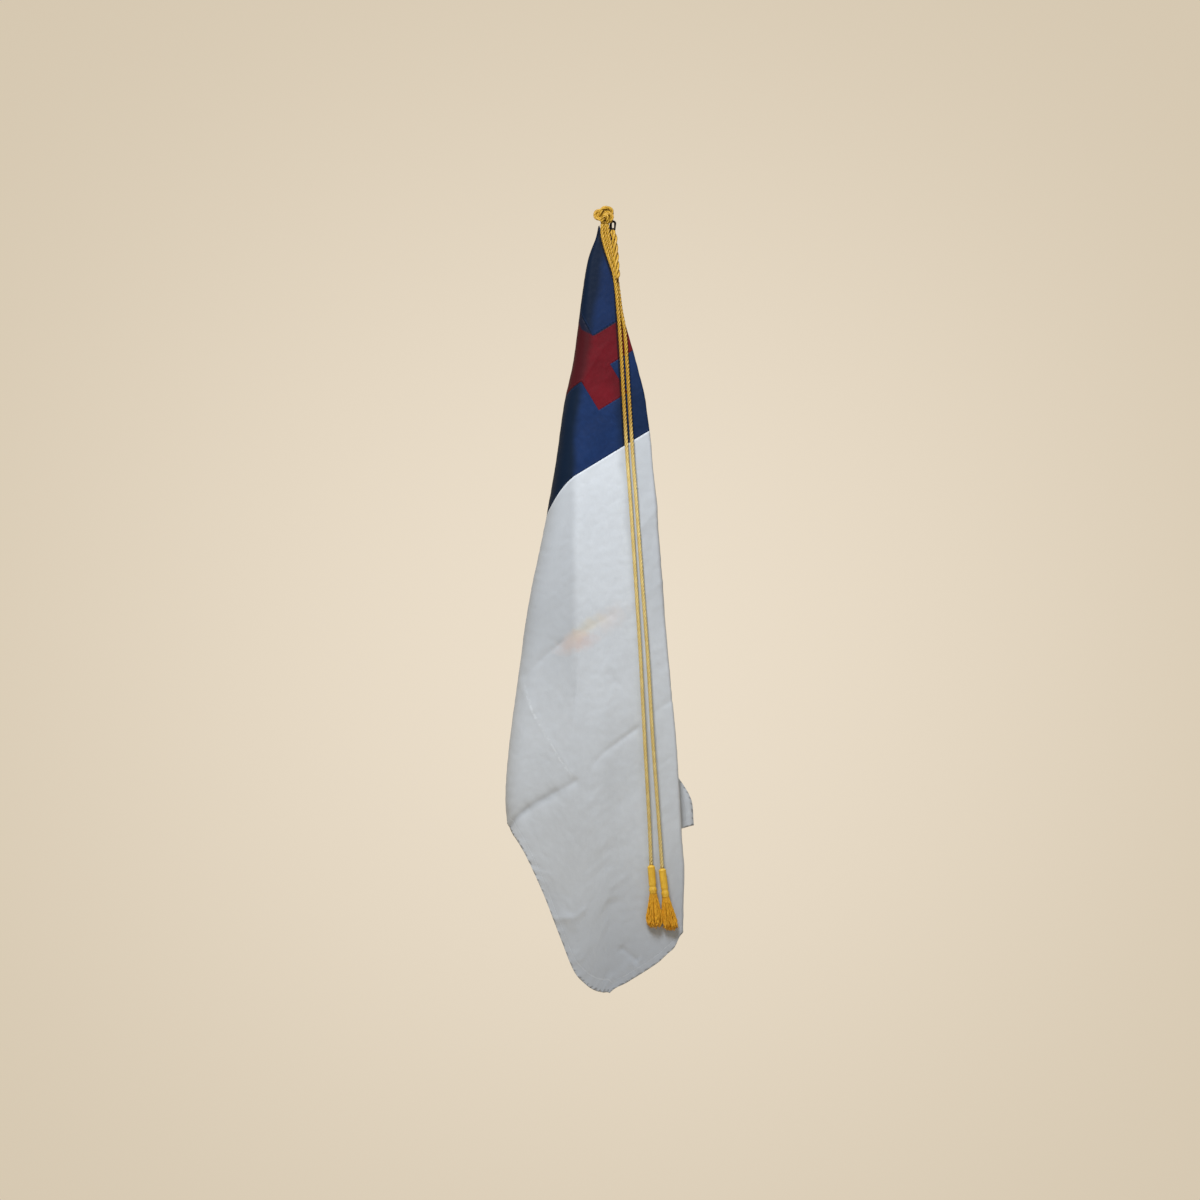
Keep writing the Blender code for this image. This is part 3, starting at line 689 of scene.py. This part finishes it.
class Value:
    """A number in a material. Sums on it add Math nodes."""

    def __init__(self, nodes, socket):
        self.nodes, self.socket = nodes, socket

    def maths(self, operation, *others):
        return self.nodes.number(operation, self, *others)

    def __rsub__(self, other):
        return self.nodes.number("SUBTRACT", other, self)

    __add__ = partialmethod(maths, "ADD")
    __mul__ = partialmethod(maths, "MULTIPLY")
    __sub__ = partialmethod(maths, "SUBTRACT")
    __truediv__ = partialmethod(maths, "DIVIDE")
    __pow__ = partialmethod(maths, "POWER")
    __neg__ = partialmethod(maths, "MULTIPLY", -1.0)
    abs = partialmethod(maths, "ABSOLUTE")
    sin = partialmethod(maths, "SINE")
    frac = partialmethod(maths, "FRACT")
    below = partialmethod(maths, "LESS_THAN")
    least = partialmethod(maths, "MINIMUM")
    most = partialmethod(maths, "MAXIMUM")
    angle = partialmethod(maths, "ARCTAN2")

    def fade(self, low, high, at_low=0.0, at_high=1.0):
        """A soft step from one value to another as this goes from low to high."""
        ends = {"Value": self, "From Min": low, "From Max": high, "To Min": at_low, "To Max": at_high}
        node = self.nodes.node("MapRange", {"interpolation_type": "SMOOTHSTEP"}, ends)
        return Value(self.nodes, node.outputs[0])


class Nodes:
    """The nodes of a material or of the air."""

    def __init__(self, tree):
        self.tree = tree

    def node(self, kind, settings=None, inputs=None):
        """Any node: its type, its settings, then the values or links of its sockets."""
        made = self.tree.nodes.new("ShaderNode" + kind)
        for key, value in (settings or {}).items():
            setattr(made, key, value)
        for key, value in (inputs or {}).items():
            self.join(made.inputs[key], value)
        return made

    def join(self, socket, value):
        """Links a socket to a value, or sets it to a plain number or colour."""
        value = getattr(value, "socket", value)
        if isinstance(value, bpy.types.NodeSocket):
            self.tree.links.new(value, socket)
        else:
            socket.default_value = (*value, 1.0) if socket.type == "RGBA" else value

    def number(self, operation, *values):
        node = self.node("Math", {"operation": operation}, dict(enumerate(values)))
        return Value(self, node.outputs[0])

    def split(self, vector):
        """The three parts of a vector."""
        return [Value(self, part) for part in self.node("SeparateXYZ", None, {0: vector}).outputs]

    def mix(self, share, a, b, blend="MIX"):
        """One colour into another."""
        settings = {"data_type": "RGBA", "blend_type": blend, "clamp_factor": True}
        return self.node("Mix", settings, {0: share, 6: a, 7: b}).outputs[2]


class Finish(Nodes):
    """A procedural material: a colour with others laid over it, and its roughness and bump."""

    def __init__(self, name, colour, specular=0.5, mapped=False):
        self.material = bpy.data.materials.new(name)
        self.material.use_nodes = True
        super().__init__(self.material.node_tree)
        self.shader = self.tree.nodes["Principled BSDF"].inputs
        self.shader["Specular IOR Level"].default_value = specular
        self.colour = colour
        self.place = self.map() if mapped else self.node("TexCoord").outputs["Object"]

    def map(self):
        return self.node("UVMap").outputs[0]

    def noise(self, scale, detail=3.0, rough=0.55, place=None):
        """Cloudy noise, about 0.5 in the middle."""
        settings = {"Vector": place or self.place, "Scale": scale, "Detail": detail, "Roughness": rough}
        return Value(self, self.node("TexNoise", None, settings).outputs[0])

    def over(self, share, colour, blend="MIX"):
        """Lays a colour over what is there, by a share."""
        self.colour = self.mix(share, self.colour, colour, blend)

    def done(self, roughness, height=None, depth=0.0005, strength=0.55):
        """The material, with its colour, roughness and bump joined to the shader."""
        self.join(self.shader["Base Color"], self.colour)
        self.join(self.shader["Roughness"], roughness)
        if height:
            bump = self.node("Bump", None, {"Height": height, "Distance": depth, "Strength": strength})
            self.join(self.shader["Normal"], bump.outputs[0])
        return self.material


def thread_line(value, at, width):
    """A line of sewing at a distance, as a mask."""
    return (value - at).abs().fade(width * 0.4, width, 1.0, 0.0)


def stitches(run, pitch=0.0042, share=0.72):
    """Dashes along a line of sewing."""
    return ((run / pitch).frac() - 0.5).abs().fade(share / 2 - 0.06, share / 2 + 0.06, 1.0, 0.0)


class Nylon(Finish):
    """Woven nylon. Its map says where on the flat flag each point is, by fly and hoist."""

    def __init__(self, name, colour, specular):
        super().__init__(name, colour, specular, mapped=True)
        self.fly, self.hoist, _ = self.split(self.place)
        # how far down from the corner a point is, and how far left of the plumb line
        self.away = (self.fly * self.fly + self.hoist * self.hoist) ** 0.5
        self.beside = (self.hoist.angle(self.fly) - PLUMB_ANGLE) * self.away
        # painted shade: the cloth is painted darker where it hangs in one layer, to the left of a border, and
        # by its right edge, where it turns away from the light
        wander = self.beside + self.noise(9.0) * 0.024 - 0.012
        self.single = (wander - (self.away * 0.16 - 0.009).least(0.0687)).fade(-0.01, 0.012)
        self.right = (wander + self.away * 0.1 - 0.02).fade(-0.012, 0.01, 1.0, 0.0)

    def woven(self, sewn, lines):
        """The height of a plain weave with uneven threads, and of the sewing on it."""
        threads = (self.fly * (tau / THREAD)).sin() * (self.hoist * (tau / THREAD)).sin()
        height = threads * 0.4
        for stretch in ((1.0, 0.06, 1.0), (0.06, 1.0, 1.0)):
            drawn = self.node("Mapping", None, {"Vector": self.place, "Scale": stretch}).outputs[0]
            height = height + self.noise(900.0, 2.0, place=drawn) * 0.6
        return height * 0.16 + sewn * 2.0 - lines * 1.2

    def blot(self, spread, at, reach):
        """A stain with an uneven edge, as a share."""
        off = (((self.fly - at[0]) / reach[0]) ** 2.0 + ((self.hoist - at[1]) / reach[1]) ** 2.0) ** 0.5
        return (off + (spread - 0.5) * 1.8).fade(0.15, 1.35, 1.0, 0.0)


def white_nylon(sizes):
    """The field: mottled and stained, with painted highlight and painted shade along its creases, painted
    shade by its edges and towards the bottom, and sewn hems.
    """
    white = sizes.white
    finish = Nylon("white nylon", times(white, 0.95), 0.2)
    fly, hoist, away = finish.fly, finish.hoist, finish.away
    fine = finish.noise(70.0, 4.0, 0.65)
    finish.over(finish.noise(5.0, 4.0).fade(0.35, 0.68), white)
    finish.over(fine.fade(0.4, 0.62, 0.0, 0.3), times(white, 1.05))
    # painted shade over the field: the one-layer band on the left and the right edge, fading out towards the
    # bottom
    single = finish.single * away.fade(0.9, 1.15, 1.0, 0.0)
    right = finish.right * away.fade(0.8, 1.05, 1.0, 0.0)
    finish.over(single.most(right * 0.8), times(white, 0.78))
    # painted shade: the field darker towards the bottom, where less light falls
    finish.over(away.fade(1.4, 1.8), tuple(c * k for c, k in zip(white, (0.77, 0.79, 0.83))))
    # an old stain that has spread along a crease
    spread = finish.noise(30.0, 5.0, 0.65)
    for at, reach, share, tint in STAINS:
        finish.over(finish.blot(spread, at, reach) * share, linear(*tint))
    # painted highlight along the crest of the sharpest crease
    wander = finish.noise(30.0, 2.0) * 0.01 - 0.005
    crest_highlight = (hoist + wander - 0.7275 + (fly - 0.93) ** 2.0 * 1.2).abs().fade(0.0012, 0.0058, 1.0, 0.0)
    crest_highlight = crest_highlight * fly.fade(0.79, 0.84) * fly.fade(1.0, 1.04, 1.0, 0.0)
    flecks = finish.noise(75.0).fade(0.46, 0.6, 0.12, 1.0)
    finish.over(crest_highlight * flecks * 0.6, times(white, 1.25))
    # and painted shade in the deepest one
    bottom = ((hoist - 0.715) * 0.175 + 1.0385).least(1.0655)
    valley_shade = (fly + wander * 0.4 - bottom).abs().fade(0.002, 0.012, 1.0, 0.0)
    finish.over(valley_shade * hoist.fade(0.7, 0.8) * 0.5, times(white, 0.72))
    # hems: two lines of thread, and stitches over the edge, painted dark grey as shade
    edge = fly.least(sizes.fly - fly).least(hoist.least(sizes.hoist - hoist))
    seam = (fly - sizes.canton_fly).most(hoist - sizes.canton_hoist)
    run = fly + hoist
    lines = thread_line(edge, sizes.hem - 0.0025, 0.0011).most(thread_line(seam, 0.0045, 0.001))
    sewn = lines * stitches(run)
    # painted shade: dark grey dashes of the stitches over the edge
    overcast_shade = edge.fade(0.003, 0.005, 1.0, 0.0)
    overcast_shade = overcast_shade * stitches(run + finish.noise(45.0, 2.0) * 0.03, 0.018, 0.34)
    finish.over(thread_line(edge, sizes.hem, 0.0014) * 0.12, times(white, 0.62))
    # painted highlight on the field beside the canton's seam
    finish.over(seam.fade(0.001, 0.006, 0.4, 0.0), times(white, 1.22))
    finish.over(sewn * 0.4, times(white, 1.25))
    finish.over(overcast_shade * 0.5, times(white, 0.22))
    return finish.done(fine.fade(0.3, 0.7, 0.56, 0.7), finish.woven(sewn, lines) + fine * 0.9)


def cross_edge(sizes, fly, hoist):
    """How far a point lies outside the edge of the cross."""
    across, down = (fly - sizes.cross_fly).abs(), hoist - sizes.cross_hoist
    half, reach = sizes.arm / 2, sizes.arm * 1.5
    upright = (across - half).most((down - sizes.long_arm - half).most(-down - reach))
    return upright.least((down.abs() - half).most(across - reach))


def dyed_nylon(name, colour, behind, sizes, is_cross):
    """Dyed cloth, with sewing beside its edges, and painted shade in a darker colour, behind, where it hangs
    in one layer and by its right edge.
    """
    finish = Nylon(name, times(colour, 0.8), 0.1)
    fly, hoist, away = finish.fly, finish.hoist, finish.away
    fine = finish.noise(120.0, 4.0, 0.7)
    light = times(colour, 1.3, 0.001)
    finish.over(finish.noise(14.0, 4.0, 0.6).fade(0.34, 0.66), colour)
    finish.over(fine.fade(0.45, 0.72, 0.0, 0.45), light)
    # painted shade: the darker colour laid over the one-layer band and the right edge
    finish.over((finish.single * 0.9).most(finish.right * 0.5 * away.fade(0.3, 0.42)), behind)
    # painted shade: darker towards the tied corner, where the cloth bunches in tight folds
    finish.over(away.fade(0.12, 0.52, 0.44, 0.0), times(colour, 0.2))
    outside = cross_edge(sizes, fly, hoist)
    lines = thread_line(-outside if is_cross else outside, 0.0042, 0.001)
    if not is_cross:
        for edge in (sizes.canton_fly - fly, sizes.canton_hoist - hoist, hoist, fly):
            lines = lines.most(thread_line(edge, 0.0042, 0.001))
    sewn = lines * stitches(fly + hoist)
    finish.over(sewn * 0.3, light)
    if is_cross:
        # painted shade in dark navy where the cross's arm turns round the fold, standing for the navy seen
        # there
        corner = (hoist - 0.172 + (fly - 0.176).most(0.0) * 0.62).fade(-0.003, 0.003, 1.0, 0.0)
        finish.over(corner * fly.below(0.205) * 0.93, linear(15, 27, 46))
    # painted shadow, nearly black, along the left side of the left run of cord
    line = (away * 0.33 - 0.0228).least(away * 0.06 + 0.0131)
    cord_shadow = (finish.beside + line).abs().fade(0.0008, 0.0042, 1.0, 0.0) * away.fade(0.45, 0.62, 1.0, 0.25)
    finish.over(cord_shadow * 0.8, linear(10, 10, 14))
    return finish.done(fine.fade(0.3, 0.7, 0.5, 0.66), finish.woven(sewn, lines) + fine * 0.8)


def twisted_gold(name, colour, threads=9.0, lean=520.0, groove_shade_share=0.3, fresh=None):
    """Shiny rayon thread, wound round each strand, with painted shade between its windings and in the grooves
    between strands. fresh is its colour where light hasn't faded it.
    """
    finish = Finish(name, colour, 0.4)
    run, around, _ = finish.split(finish.map())
    wound = (around * (tau * threads) + run * lean).sin()
    groove_shade = (around.frac() - 0.5).abs().fade(0.08, 0.34, 1.0, 0.0)
    cloud = finish.noise(60.0)
    fine = finish.noise(900.0, 3.0, 0.7)
    if fresh:
        finish.over(finish.split(finish.place)[2].fade(-0.58, -0.4), fresh)
    # painted shade between the windings and in the grooves between the strands; the cloud and fine noise are
    # uneven tone
    for share, tint in (
        (wound.fade(-1.0, -0.1, 0.55, 0.0), (0.6, 0.5, 0.36)),
        (cloud.fade(0.4, 0.6, 0.5, 0.0), (0.82, 0.76, 0.62)),
        (fine.fade(0.5, 0.7, 0.0, 0.3), (0.6, 0.52, 0.4)),
        (groove_shade * groove_shade_share, (0.3, 0.16, 0.05)),
    ):
        finish.over(share, tint, "MULTIPLY")
    return finish.done(fine.fade(0.3, 0.7, 0.34, 0.54), wound * 0.5 + fine * 0.5, 0.0003, 0.8)


def leather(colour):
    """Worn dark leather with fine pores."""
    finish = Finish("dark leather", colour, 0.15)
    pore_size = {"Vector": finish.place, "Scale": 900.0}
    cell = finish.node("TexVoronoi", {"feature": "DISTANCE_TO_EDGE"}, pore_size)
    pores = Value(finish, cell.outputs[0]).fade(0.0, 0.18)
    worn = finish.noise(160.0, 4.0, 0.65)
    finish.over(worn.fade(0.4, 0.68), times(colour, 1.6, 0.001))
    finish.over((1 - pores) * 0.6, times(colour, 0.4))
    return finish.done(worn.fade(0.3, 0.7, 0.36, 0.6), pores * 0.6 + worn * 0.6, 0.0002, 0.8)


def paper(name, colour):
    """The pale floor, with a trace of mottling."""
    finish = Finish(name, colour)
    finish.over(finish.noise(2.0).fade(0.3, 0.7), times(colour, 0.99))
    return finish.done(0.9)


# Operators

class FLAG_OT_stage(bpy.types.Operator):
    """Sets up the camera, the lights, the floor and the air behind"""

    bl_idname = "flag.stage"
    bl_label = "Stage"

    def execute(self, context):
        sizes = context.scene.flag_stage
        middle = Vector(sizes.view_middle)
        data = bpy.data.cameras.new("camera")
        data.lens = data.sensor_width * sizes.away / sizes.view_across
        data.clip_end = 100.0
        camera = placed("camera", data, middle - Vector((0, sizes.away, 0)))
        camera.rotation_euler = (pi / 2, 0, 0)
        context.scene.camera = camera
        context.scene.view_settings.view_transform = "Standard"
        for name, place, size, strength, tint in (
            ("key_light", (-0.38, -1.66, 0.95), 1.1, sizes.key, (0.985, 0.993, 1.0)),
            ("fill_light", (2.6, -2.6, -0.9), 1.6, sizes.fill, (0.96, 0.98, 1.0)),
        ):
            lamp = bpy.data.lights.new(name, "AREA")
            lamp.shape, lamp.size, lamp.energy, lamp.color = "DISK", size, strength, tint
            aim = middle - Vector(place)
            placed(name, lamp, place).rotation_euler = aim.to_track_quat("-Z", "Y").to_euler()
        self.air(context.scene, sizes)

        bm = bmesh.new()
        bmesh.ops.create_circle(bm, cap_ends=True, segments=64, radius=sizes.floor_radius)
        bmesh.ops.translate(bm, verts=bm.verts[:], vec=(0, 0, sizes.floor))
        meshed("floor", bm, paper("pale floor", sizes.paper))
        return {"FINISHED"}

    def air(self, scene, sizes):
        """Pale air, a little darker round the flag and brighter behind it than before it."""
        scene.world = bpy.data.worlds.new("air")
        scene.world.use_nodes = True
        air = Nodes(scene.world.node_tree)
        background = air.tree.nodes["Background"].inputs
        across, behind, up = air.split(air.node("TexCoord").outputs["Generated"])
        from_middle = (across * across + (up + 0.006) ** 2.0) ** 0.5
        air.join(background["Color"], air.mix(from_middle.fade(0.0, 0.15), sizes.paper, sizes.paper_edge))
        air.join(background["Strength"], behind.fade(-0.05, 0.45, sizes.air_before, sizes.air_behind))


class FLAG_OT_cords(bpy.types.Operator):
    """Lays the gold cord: its two runs down the front and its short end"""

    bl_idname = "flag.cords"
    bl_label = "Cords"

    def execute(self, context):
        sizes = context.scene.flag_cord
        gold = twisted_gold("gold cord", sizes.gold, fresh=sizes.fresh_gold)
        off = sizes.across / 2 + SOLID_CLOTH / 2 + TOUCH
        for side, table, start in (("left", LEFT_RUN, 0.4), ("right", RIGHT_RUN, 1.3)):
            points = through([(x, front(x) - off - lift, z) for x, z, lift in table], sizes.ring_step)
            bm = bmesh.new()
            Twist(points, sizes.across, sizes.pitch).add(bm, start=start)
            self.lay(bm, side + "_run", "cord_" + side, points, gold)

        points = through(SHORT_END, sizes.fine_step)
        bm = bmesh.new()
        pitch = sizes.pitch * sizes.loosened ** 2
        loosened = Twist(points, sizes.across * sizes.loosened, pitch, strand=0.42)
        loosened.add(bm, start=2.2, shrink=0.55)
        loosened.bind(bm, len(points) - 7, sizes.across * 0.47)
        self.lay(bm, "short_end", "cord_end", points, gold)
        return {"FINISHED"}

    def lay(self, bm, name, node, points, gold):
        """Finishes one length of cord, and keeps its route."""
        close_ends(bm)
        piece(name, bm, gold, node)
        bpy.context.scene.flag_paths[name] = [tuple(point) for point in points]


class FLAG_OT_knot(bpy.types.Operator):
    """Ties the knot at the flag's corner"""

    bl_idname = "flag.knot"
    bl_label = "Knot"

    def execute(self, context):
        sizes = context.scene.flag_cord
        centre = Vector(KNOT_CENTRE)

        def round_knot(count, at):
            """Points of a closed turn of cord round the knot's centre."""
            return [centre + Vector(at(tau * i / count)) for i in range(count + 1)]

        def woven(t):
            ring = KNOT_RING + KNOT_WEAVE * cos(3 * t)
            return -KNOT_WIDE * ring * cos(2 * t), KNOT_WEAVE * sin(3 * t), ring * sin(2 * t)

        bm = bmesh.new()
        Twist(round_knot(150, woven), sizes.across, sizes.pitch, closed=True).add(bm, sides=10, turns=5)
        for tall, back in KNOT_CORE:
            core = round_knot(60, lambda t: (-KNOT_CORE_WIDE * cos(t), back, tall * sin(t)))
            Twist(core, sizes.across, sizes.pitch, closed=True).add(bm, turns=2)
        for table, across in ((KNOT_BIGHT, sizes.across), (BEHIND_RUNS, sizes.across * 0.85)):
            Twist(through(table, sizes.fine_step), across, sizes.pitch).add(bm, shrink=0.5)
        close_ends(bm)
        piece("tied_knot", bm, bpy.data.materials["gold cord"], "cord_knot")
        return {"FINISHED"}


class FLAG_OT_tassels(bpy.types.Operator):
    """Hangs the two tassels on the runs of cord"""

    bl_idname = "flag.tassels"
    bl_label = "Tassels"

    def execute(self, context):
        sizes = context.scene.flag_cord
        gold = twisted_gold("gold tassel", sizes.skirt_gold, threads=2.0, lean=900.0, groove_shade_share=0.0)
        wound = twisted_gold("gold windings", sizes.deep_gold, threads=0.0, lean=2850.0, groove_shade_share=0.0)
        for shape in TASSELS:
            top, collar, foot = (Vector((x, 0.0, z)) for x, z in (shape.top, shape.collar, shape.foot))
            top.y = collar.y = front(collar.x) - SOLID_CLOTH / 2 - OFF_CLOTH - sizes.head * 1.1
            foot.y = front(foot.x) - SOLID_CLOTH / 2 - OFF_CLOTH - sizes.skirt_deep - 0.0011
            axis = (collar - top).normalized()
            side = axis.cross(Vector((0, 1, 0))).normalized()
            for part, build, finish in (
                ("_head", partial(self.head, top, collar), wound),
                ("_skirt", partial(self.skirt, collar, foot, shape.seed), gold),
            ):
                bm = bmesh.new()
                build(bm, sizes, axis, side, side.cross(axis))
                close_ends(bm)
                piece(shape.name + part, bm, finish, shape.name)
        return {"FINISHED"}

    def head(self, top, collar, bm, sizes, axis, side, deep):
        """The wound head, with its collar."""
        long = (collar - top).length

        def place(share, around):
            down = HEAD_LONG * share
            turn = tau * (around % 1.0)
            wide = 0.62 + 0.38 * ease(down / 0.1)
            for height, middle, width in HEAD_SWELLS:
                wide += height * exp(-((down - middle) / width) ** 2)
            if share < RIBBED:
                wide *= 1 + 0.03 * cos(16 * turn)
            if share >= CUFF:
                wide *= 1 + 0.035 * cos(tau * down * long / CUFF_THREAD)
            out = turned(turn, side, deep) * sizes.head * wide
            return top + axis * long * down + out, (down * long, around)

        wrapped(bm, 110, 64, place)

    def skirt(self, collar, foot, seed, bm, sizes, axis, side, deep):
        """The skirt: strands that start in the head, in a spiral, and end apart round the foot."""
        steps = 22
        for k in range(sizes.strands):
            share = sqrt((k + 0.5) / sizes.strands)
            turn = pi * (3 - sqrt(5)) * k
            jitter = [wobble(k * 1.37, seed + n * 3.1, 0.5) for n in range(7)]
            begin = collar + turned(turn, side, deep) * share * sizes.head * 0.84
            outer = share ** 3
            end = foot + Vector((
                cos(turn) * share * sizes.skirt_wide + jitter[0] * 0.008,
                sin(turn) * share * sizes.skirt_deep + jitter[1] * 0.004,
                jitter[2] * 0.006 + 0.003 + outer * 0.009,
            ))
            swing = Vector((jitter[3] * 0.012, jitter[4] * 0.004, 0.0))
            curl = Vector((cos(turn) * outer * -0.006 + jitter[5] * 0.005, jitter[6] * 0.003, 0.0))
            line = []
            for i in range(steps + 1):
                t = i / steps
                below = collar + axis * 0.02 + (begin - collar) * 1.3
                hang = begin.lerp(below, ease(t)).lerp(end, t ** 1.5)
                line.append(hang + swing * sin(pi * t) * t + curl * ease((t - 0.78) / 0.22))

            def strand(along_it, around):
                i = round(along_it * steps)
                ahead = (line[min(i + 1, steps)] - line[max(i - 1, 0)]).normalized()
                out = ahead.orthogonal().normalized()
                turn = tau * (around % 1.0)
                size = STRAND_WIDE * (1.0 + STRAND_FLAT * cos(2 * turn)) * (1.0 if i < steps else 0.8)
                offset = turned(turn + k + i * 0.9, out, ahead.cross(out))
                return line[i] + offset * size, (along_it * 0.08, around + k)

            wrapped(bm, steps, 8, strand)


class FLAG_OT_declare(bpy.types.Operator):
    """Goes through the free cords, with what hangs on each, and measures each route's length, which it does
    not keep
    """

    bl_idname = "flag.declare"
    bl_label = "Declare cords"

    def execute(self, context):
        for name, far_end, on_it in (
            ("left_run", "fitting", ("tassel_left_head", "tassel_left_skirt", "tied_knot")),
            ("right_run", "fitting", ("tassel_right_head", "tassel_right_skirt")),
            ("short_end", "bare", ()),
        ):
            path = context.scene.flag_paths[name]
            distances([Vector(point) for point in path])[-1]
        return {"FINISHED"}


class FLAG_OT_cloths(bpy.types.Operator):
    """Cuts and hangs the three cloths: field, canton and cross"""

    bl_idname = "flag.cloths"
    bl_label = "Cloths"

    def execute(self, context):
        sizes = context.scene.flag_cloth
        drape = Drape(sizes)
        fly, hoist = sizes.canton_fly, sizes.canton_hoist
        x, y = sizes.cross_fly, sizes.cross_hoist
        half, reach = sizes.arm / 2, sizes.arm * 1.5
        tall = reach + half + sizes.long_arm
        upright = (x - half, x + half, y - reach, y + half + sizes.long_arm)
        cross = (upright, (x - reach, x + reach, y - half, y + half))
        cross_area = sizes.arm * tall + 2 * sizes.arm ** 2
        white = white_nylon(sizes)
        # the second colour of each dyed cloth is its painted shade
        navy = dyed_nylon("navy nylon", sizes.navy, linear(11, 26, 42), sizes, is_cross=False)
        red = dyed_nylon("red nylon", sizes.red, linear(64, 20, 26), sizes, is_cross=True)
        areas = (sizes.fly * sizes.hoist - fly * hoist, fly * hoist - cross_area, cross_area)
        for (node, slot, finish, outline, holes, flat), area in zip((
            ("field", "white_nylon", white, [(0.0, sizes.fly, 0.0, sizes.hoist)], [(-1.0, fly, -1.0, hoist)],
             (sizes.fly, sizes.hoist)),
            ("canton", "navy_nylon", navy, [(0.0, fly, 0.0, hoist)], cross, (fly, hoist)),
            ("cross", "red_nylon", red, cross, (), (2 * reach, tall)),
        ), areas):
            cloth = piece(node + "_cloth", drape.cut(outline, holes), finish, node, sizes.thick)
        bpy.data.meshes.remove(drape.mesh)
        return {"FINISHED"}


class FLAG_OT_tab(bpy.types.Operator):
    """Cuts the slotted leather tab at the top of the hoist"""

    bl_idname = "flag.tab"
    bl_label = "Tab"

    def execute(self, context):
        sizes = context.scene.flag_tab
        low, high = (Vector(corner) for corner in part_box("hanging_tab"))
        centre = Vector((high.x - sizes.slot_wide - sizes.rim, low.y, high.z - sizes.slot_tall - sizes.rim))
        bm = bmesh.new()
        rings = []
        for outward in (0.0, 1.0):
            made = bmesh.ops.create_circle(bm, segments=48, radius=1.0)["verts"]
            for vert in made:
                x, z = vert.co.x, vert.co.y
                straight = copysign(sizes.slot_tall - sizes.slot_wide, z)
                wide = sizes.slot_wide + sizes.rim * outward
                drop = -sizes.tail * ease(-2 * z) * outward if z < 0 else 0.0
                vert.co = centre + Vector((x * wide + drop * 0.35, 0, z * wide + straight + drop))
            rings += {edge for vert in made for edge in vert.link_edges}
        bmesh.ops.bridge_loops(bm, edges=rings)
        extruded = bmesh.ops.extrude_face_region(bm, geom=bm.faces[:])["geom"]
        moved = [item for item in extruded if isinstance(item, bmesh.types.BMVert)]
        bmesh.ops.translate(bm, verts=moved, vec=(0, sizes.thick, 0))
        bmesh.ops.recalc_face_normals(bm, faces=bm.faces[:])
        rims = [edge for edge in bm.edges if edge.calc_face_angle(0.0) > 1.0]
        bmesh.ops.bevel(
            bm, geom=rims, offset=0.0005, offset_type="OFFSET", affect="EDGES", segments=2, profile=0.5,
            material=-1,
        )
        piece("leather_tab", bm, leather(sizes.leather), "hanging_tab")
        return {"FINISHED"}


class FLAG_PT_panel(bpy.types.Panel):
    """Lists the steps that dress the flag"""

    bl_label = "Flag"
    bl_idname = "FLAG_PT_panel"
    bl_space_type = "VIEW_3D"
    bl_region_type = "UI"
    bl_category = "Flag"

    def draw(self, context):
        for operator in OPERATORS:
            self.layout.operator(operator.bl_idname)
        for group in GROUPS:
            box = self.layout.box()
            settings = getattr(context.scene, group)
            for key in settings.__annotations__:
                box.prop(settings, key)


OPERATORS = (
    FLAG_OT_stage, FLAG_OT_cords, FLAG_OT_knot, FLAG_OT_tassels, FLAG_OT_declare, FLAG_OT_cloths, FLAG_OT_tab,
)
GROUPS = {"flag_cloth": ClothSizes, "flag_cord": CordSizes, "flag_tab": TabSizes, "flag_stage": StageSizes}


def register():
    for made in (*GROUPS.values(), *OPERATORS, FLAG_PT_panel):
        bpy.utils.register_class(made)
    for key, group in GROUPS.items():
        setattr(bpy.types.Scene, key, bpy.props.PointerProperty(type=group))
    bpy.types.Scene.flag_paths = {}


def unregister():
    del bpy.types.Scene.flag_paths
    for key in GROUPS:
        delattr(bpy.types.Scene, key)
    for made in (FLAG_PT_panel, *OPERATORS[::-1], *GROUPS.values()):
        bpy.utils.unregister_class(made)


def main():
    register()
    for operator in OPERATORS:
        group, name = operator.bl_idname.split(".")
        getattr(getattr(bpy.ops, group), name)()


if __name__ == "__main__":
    main()
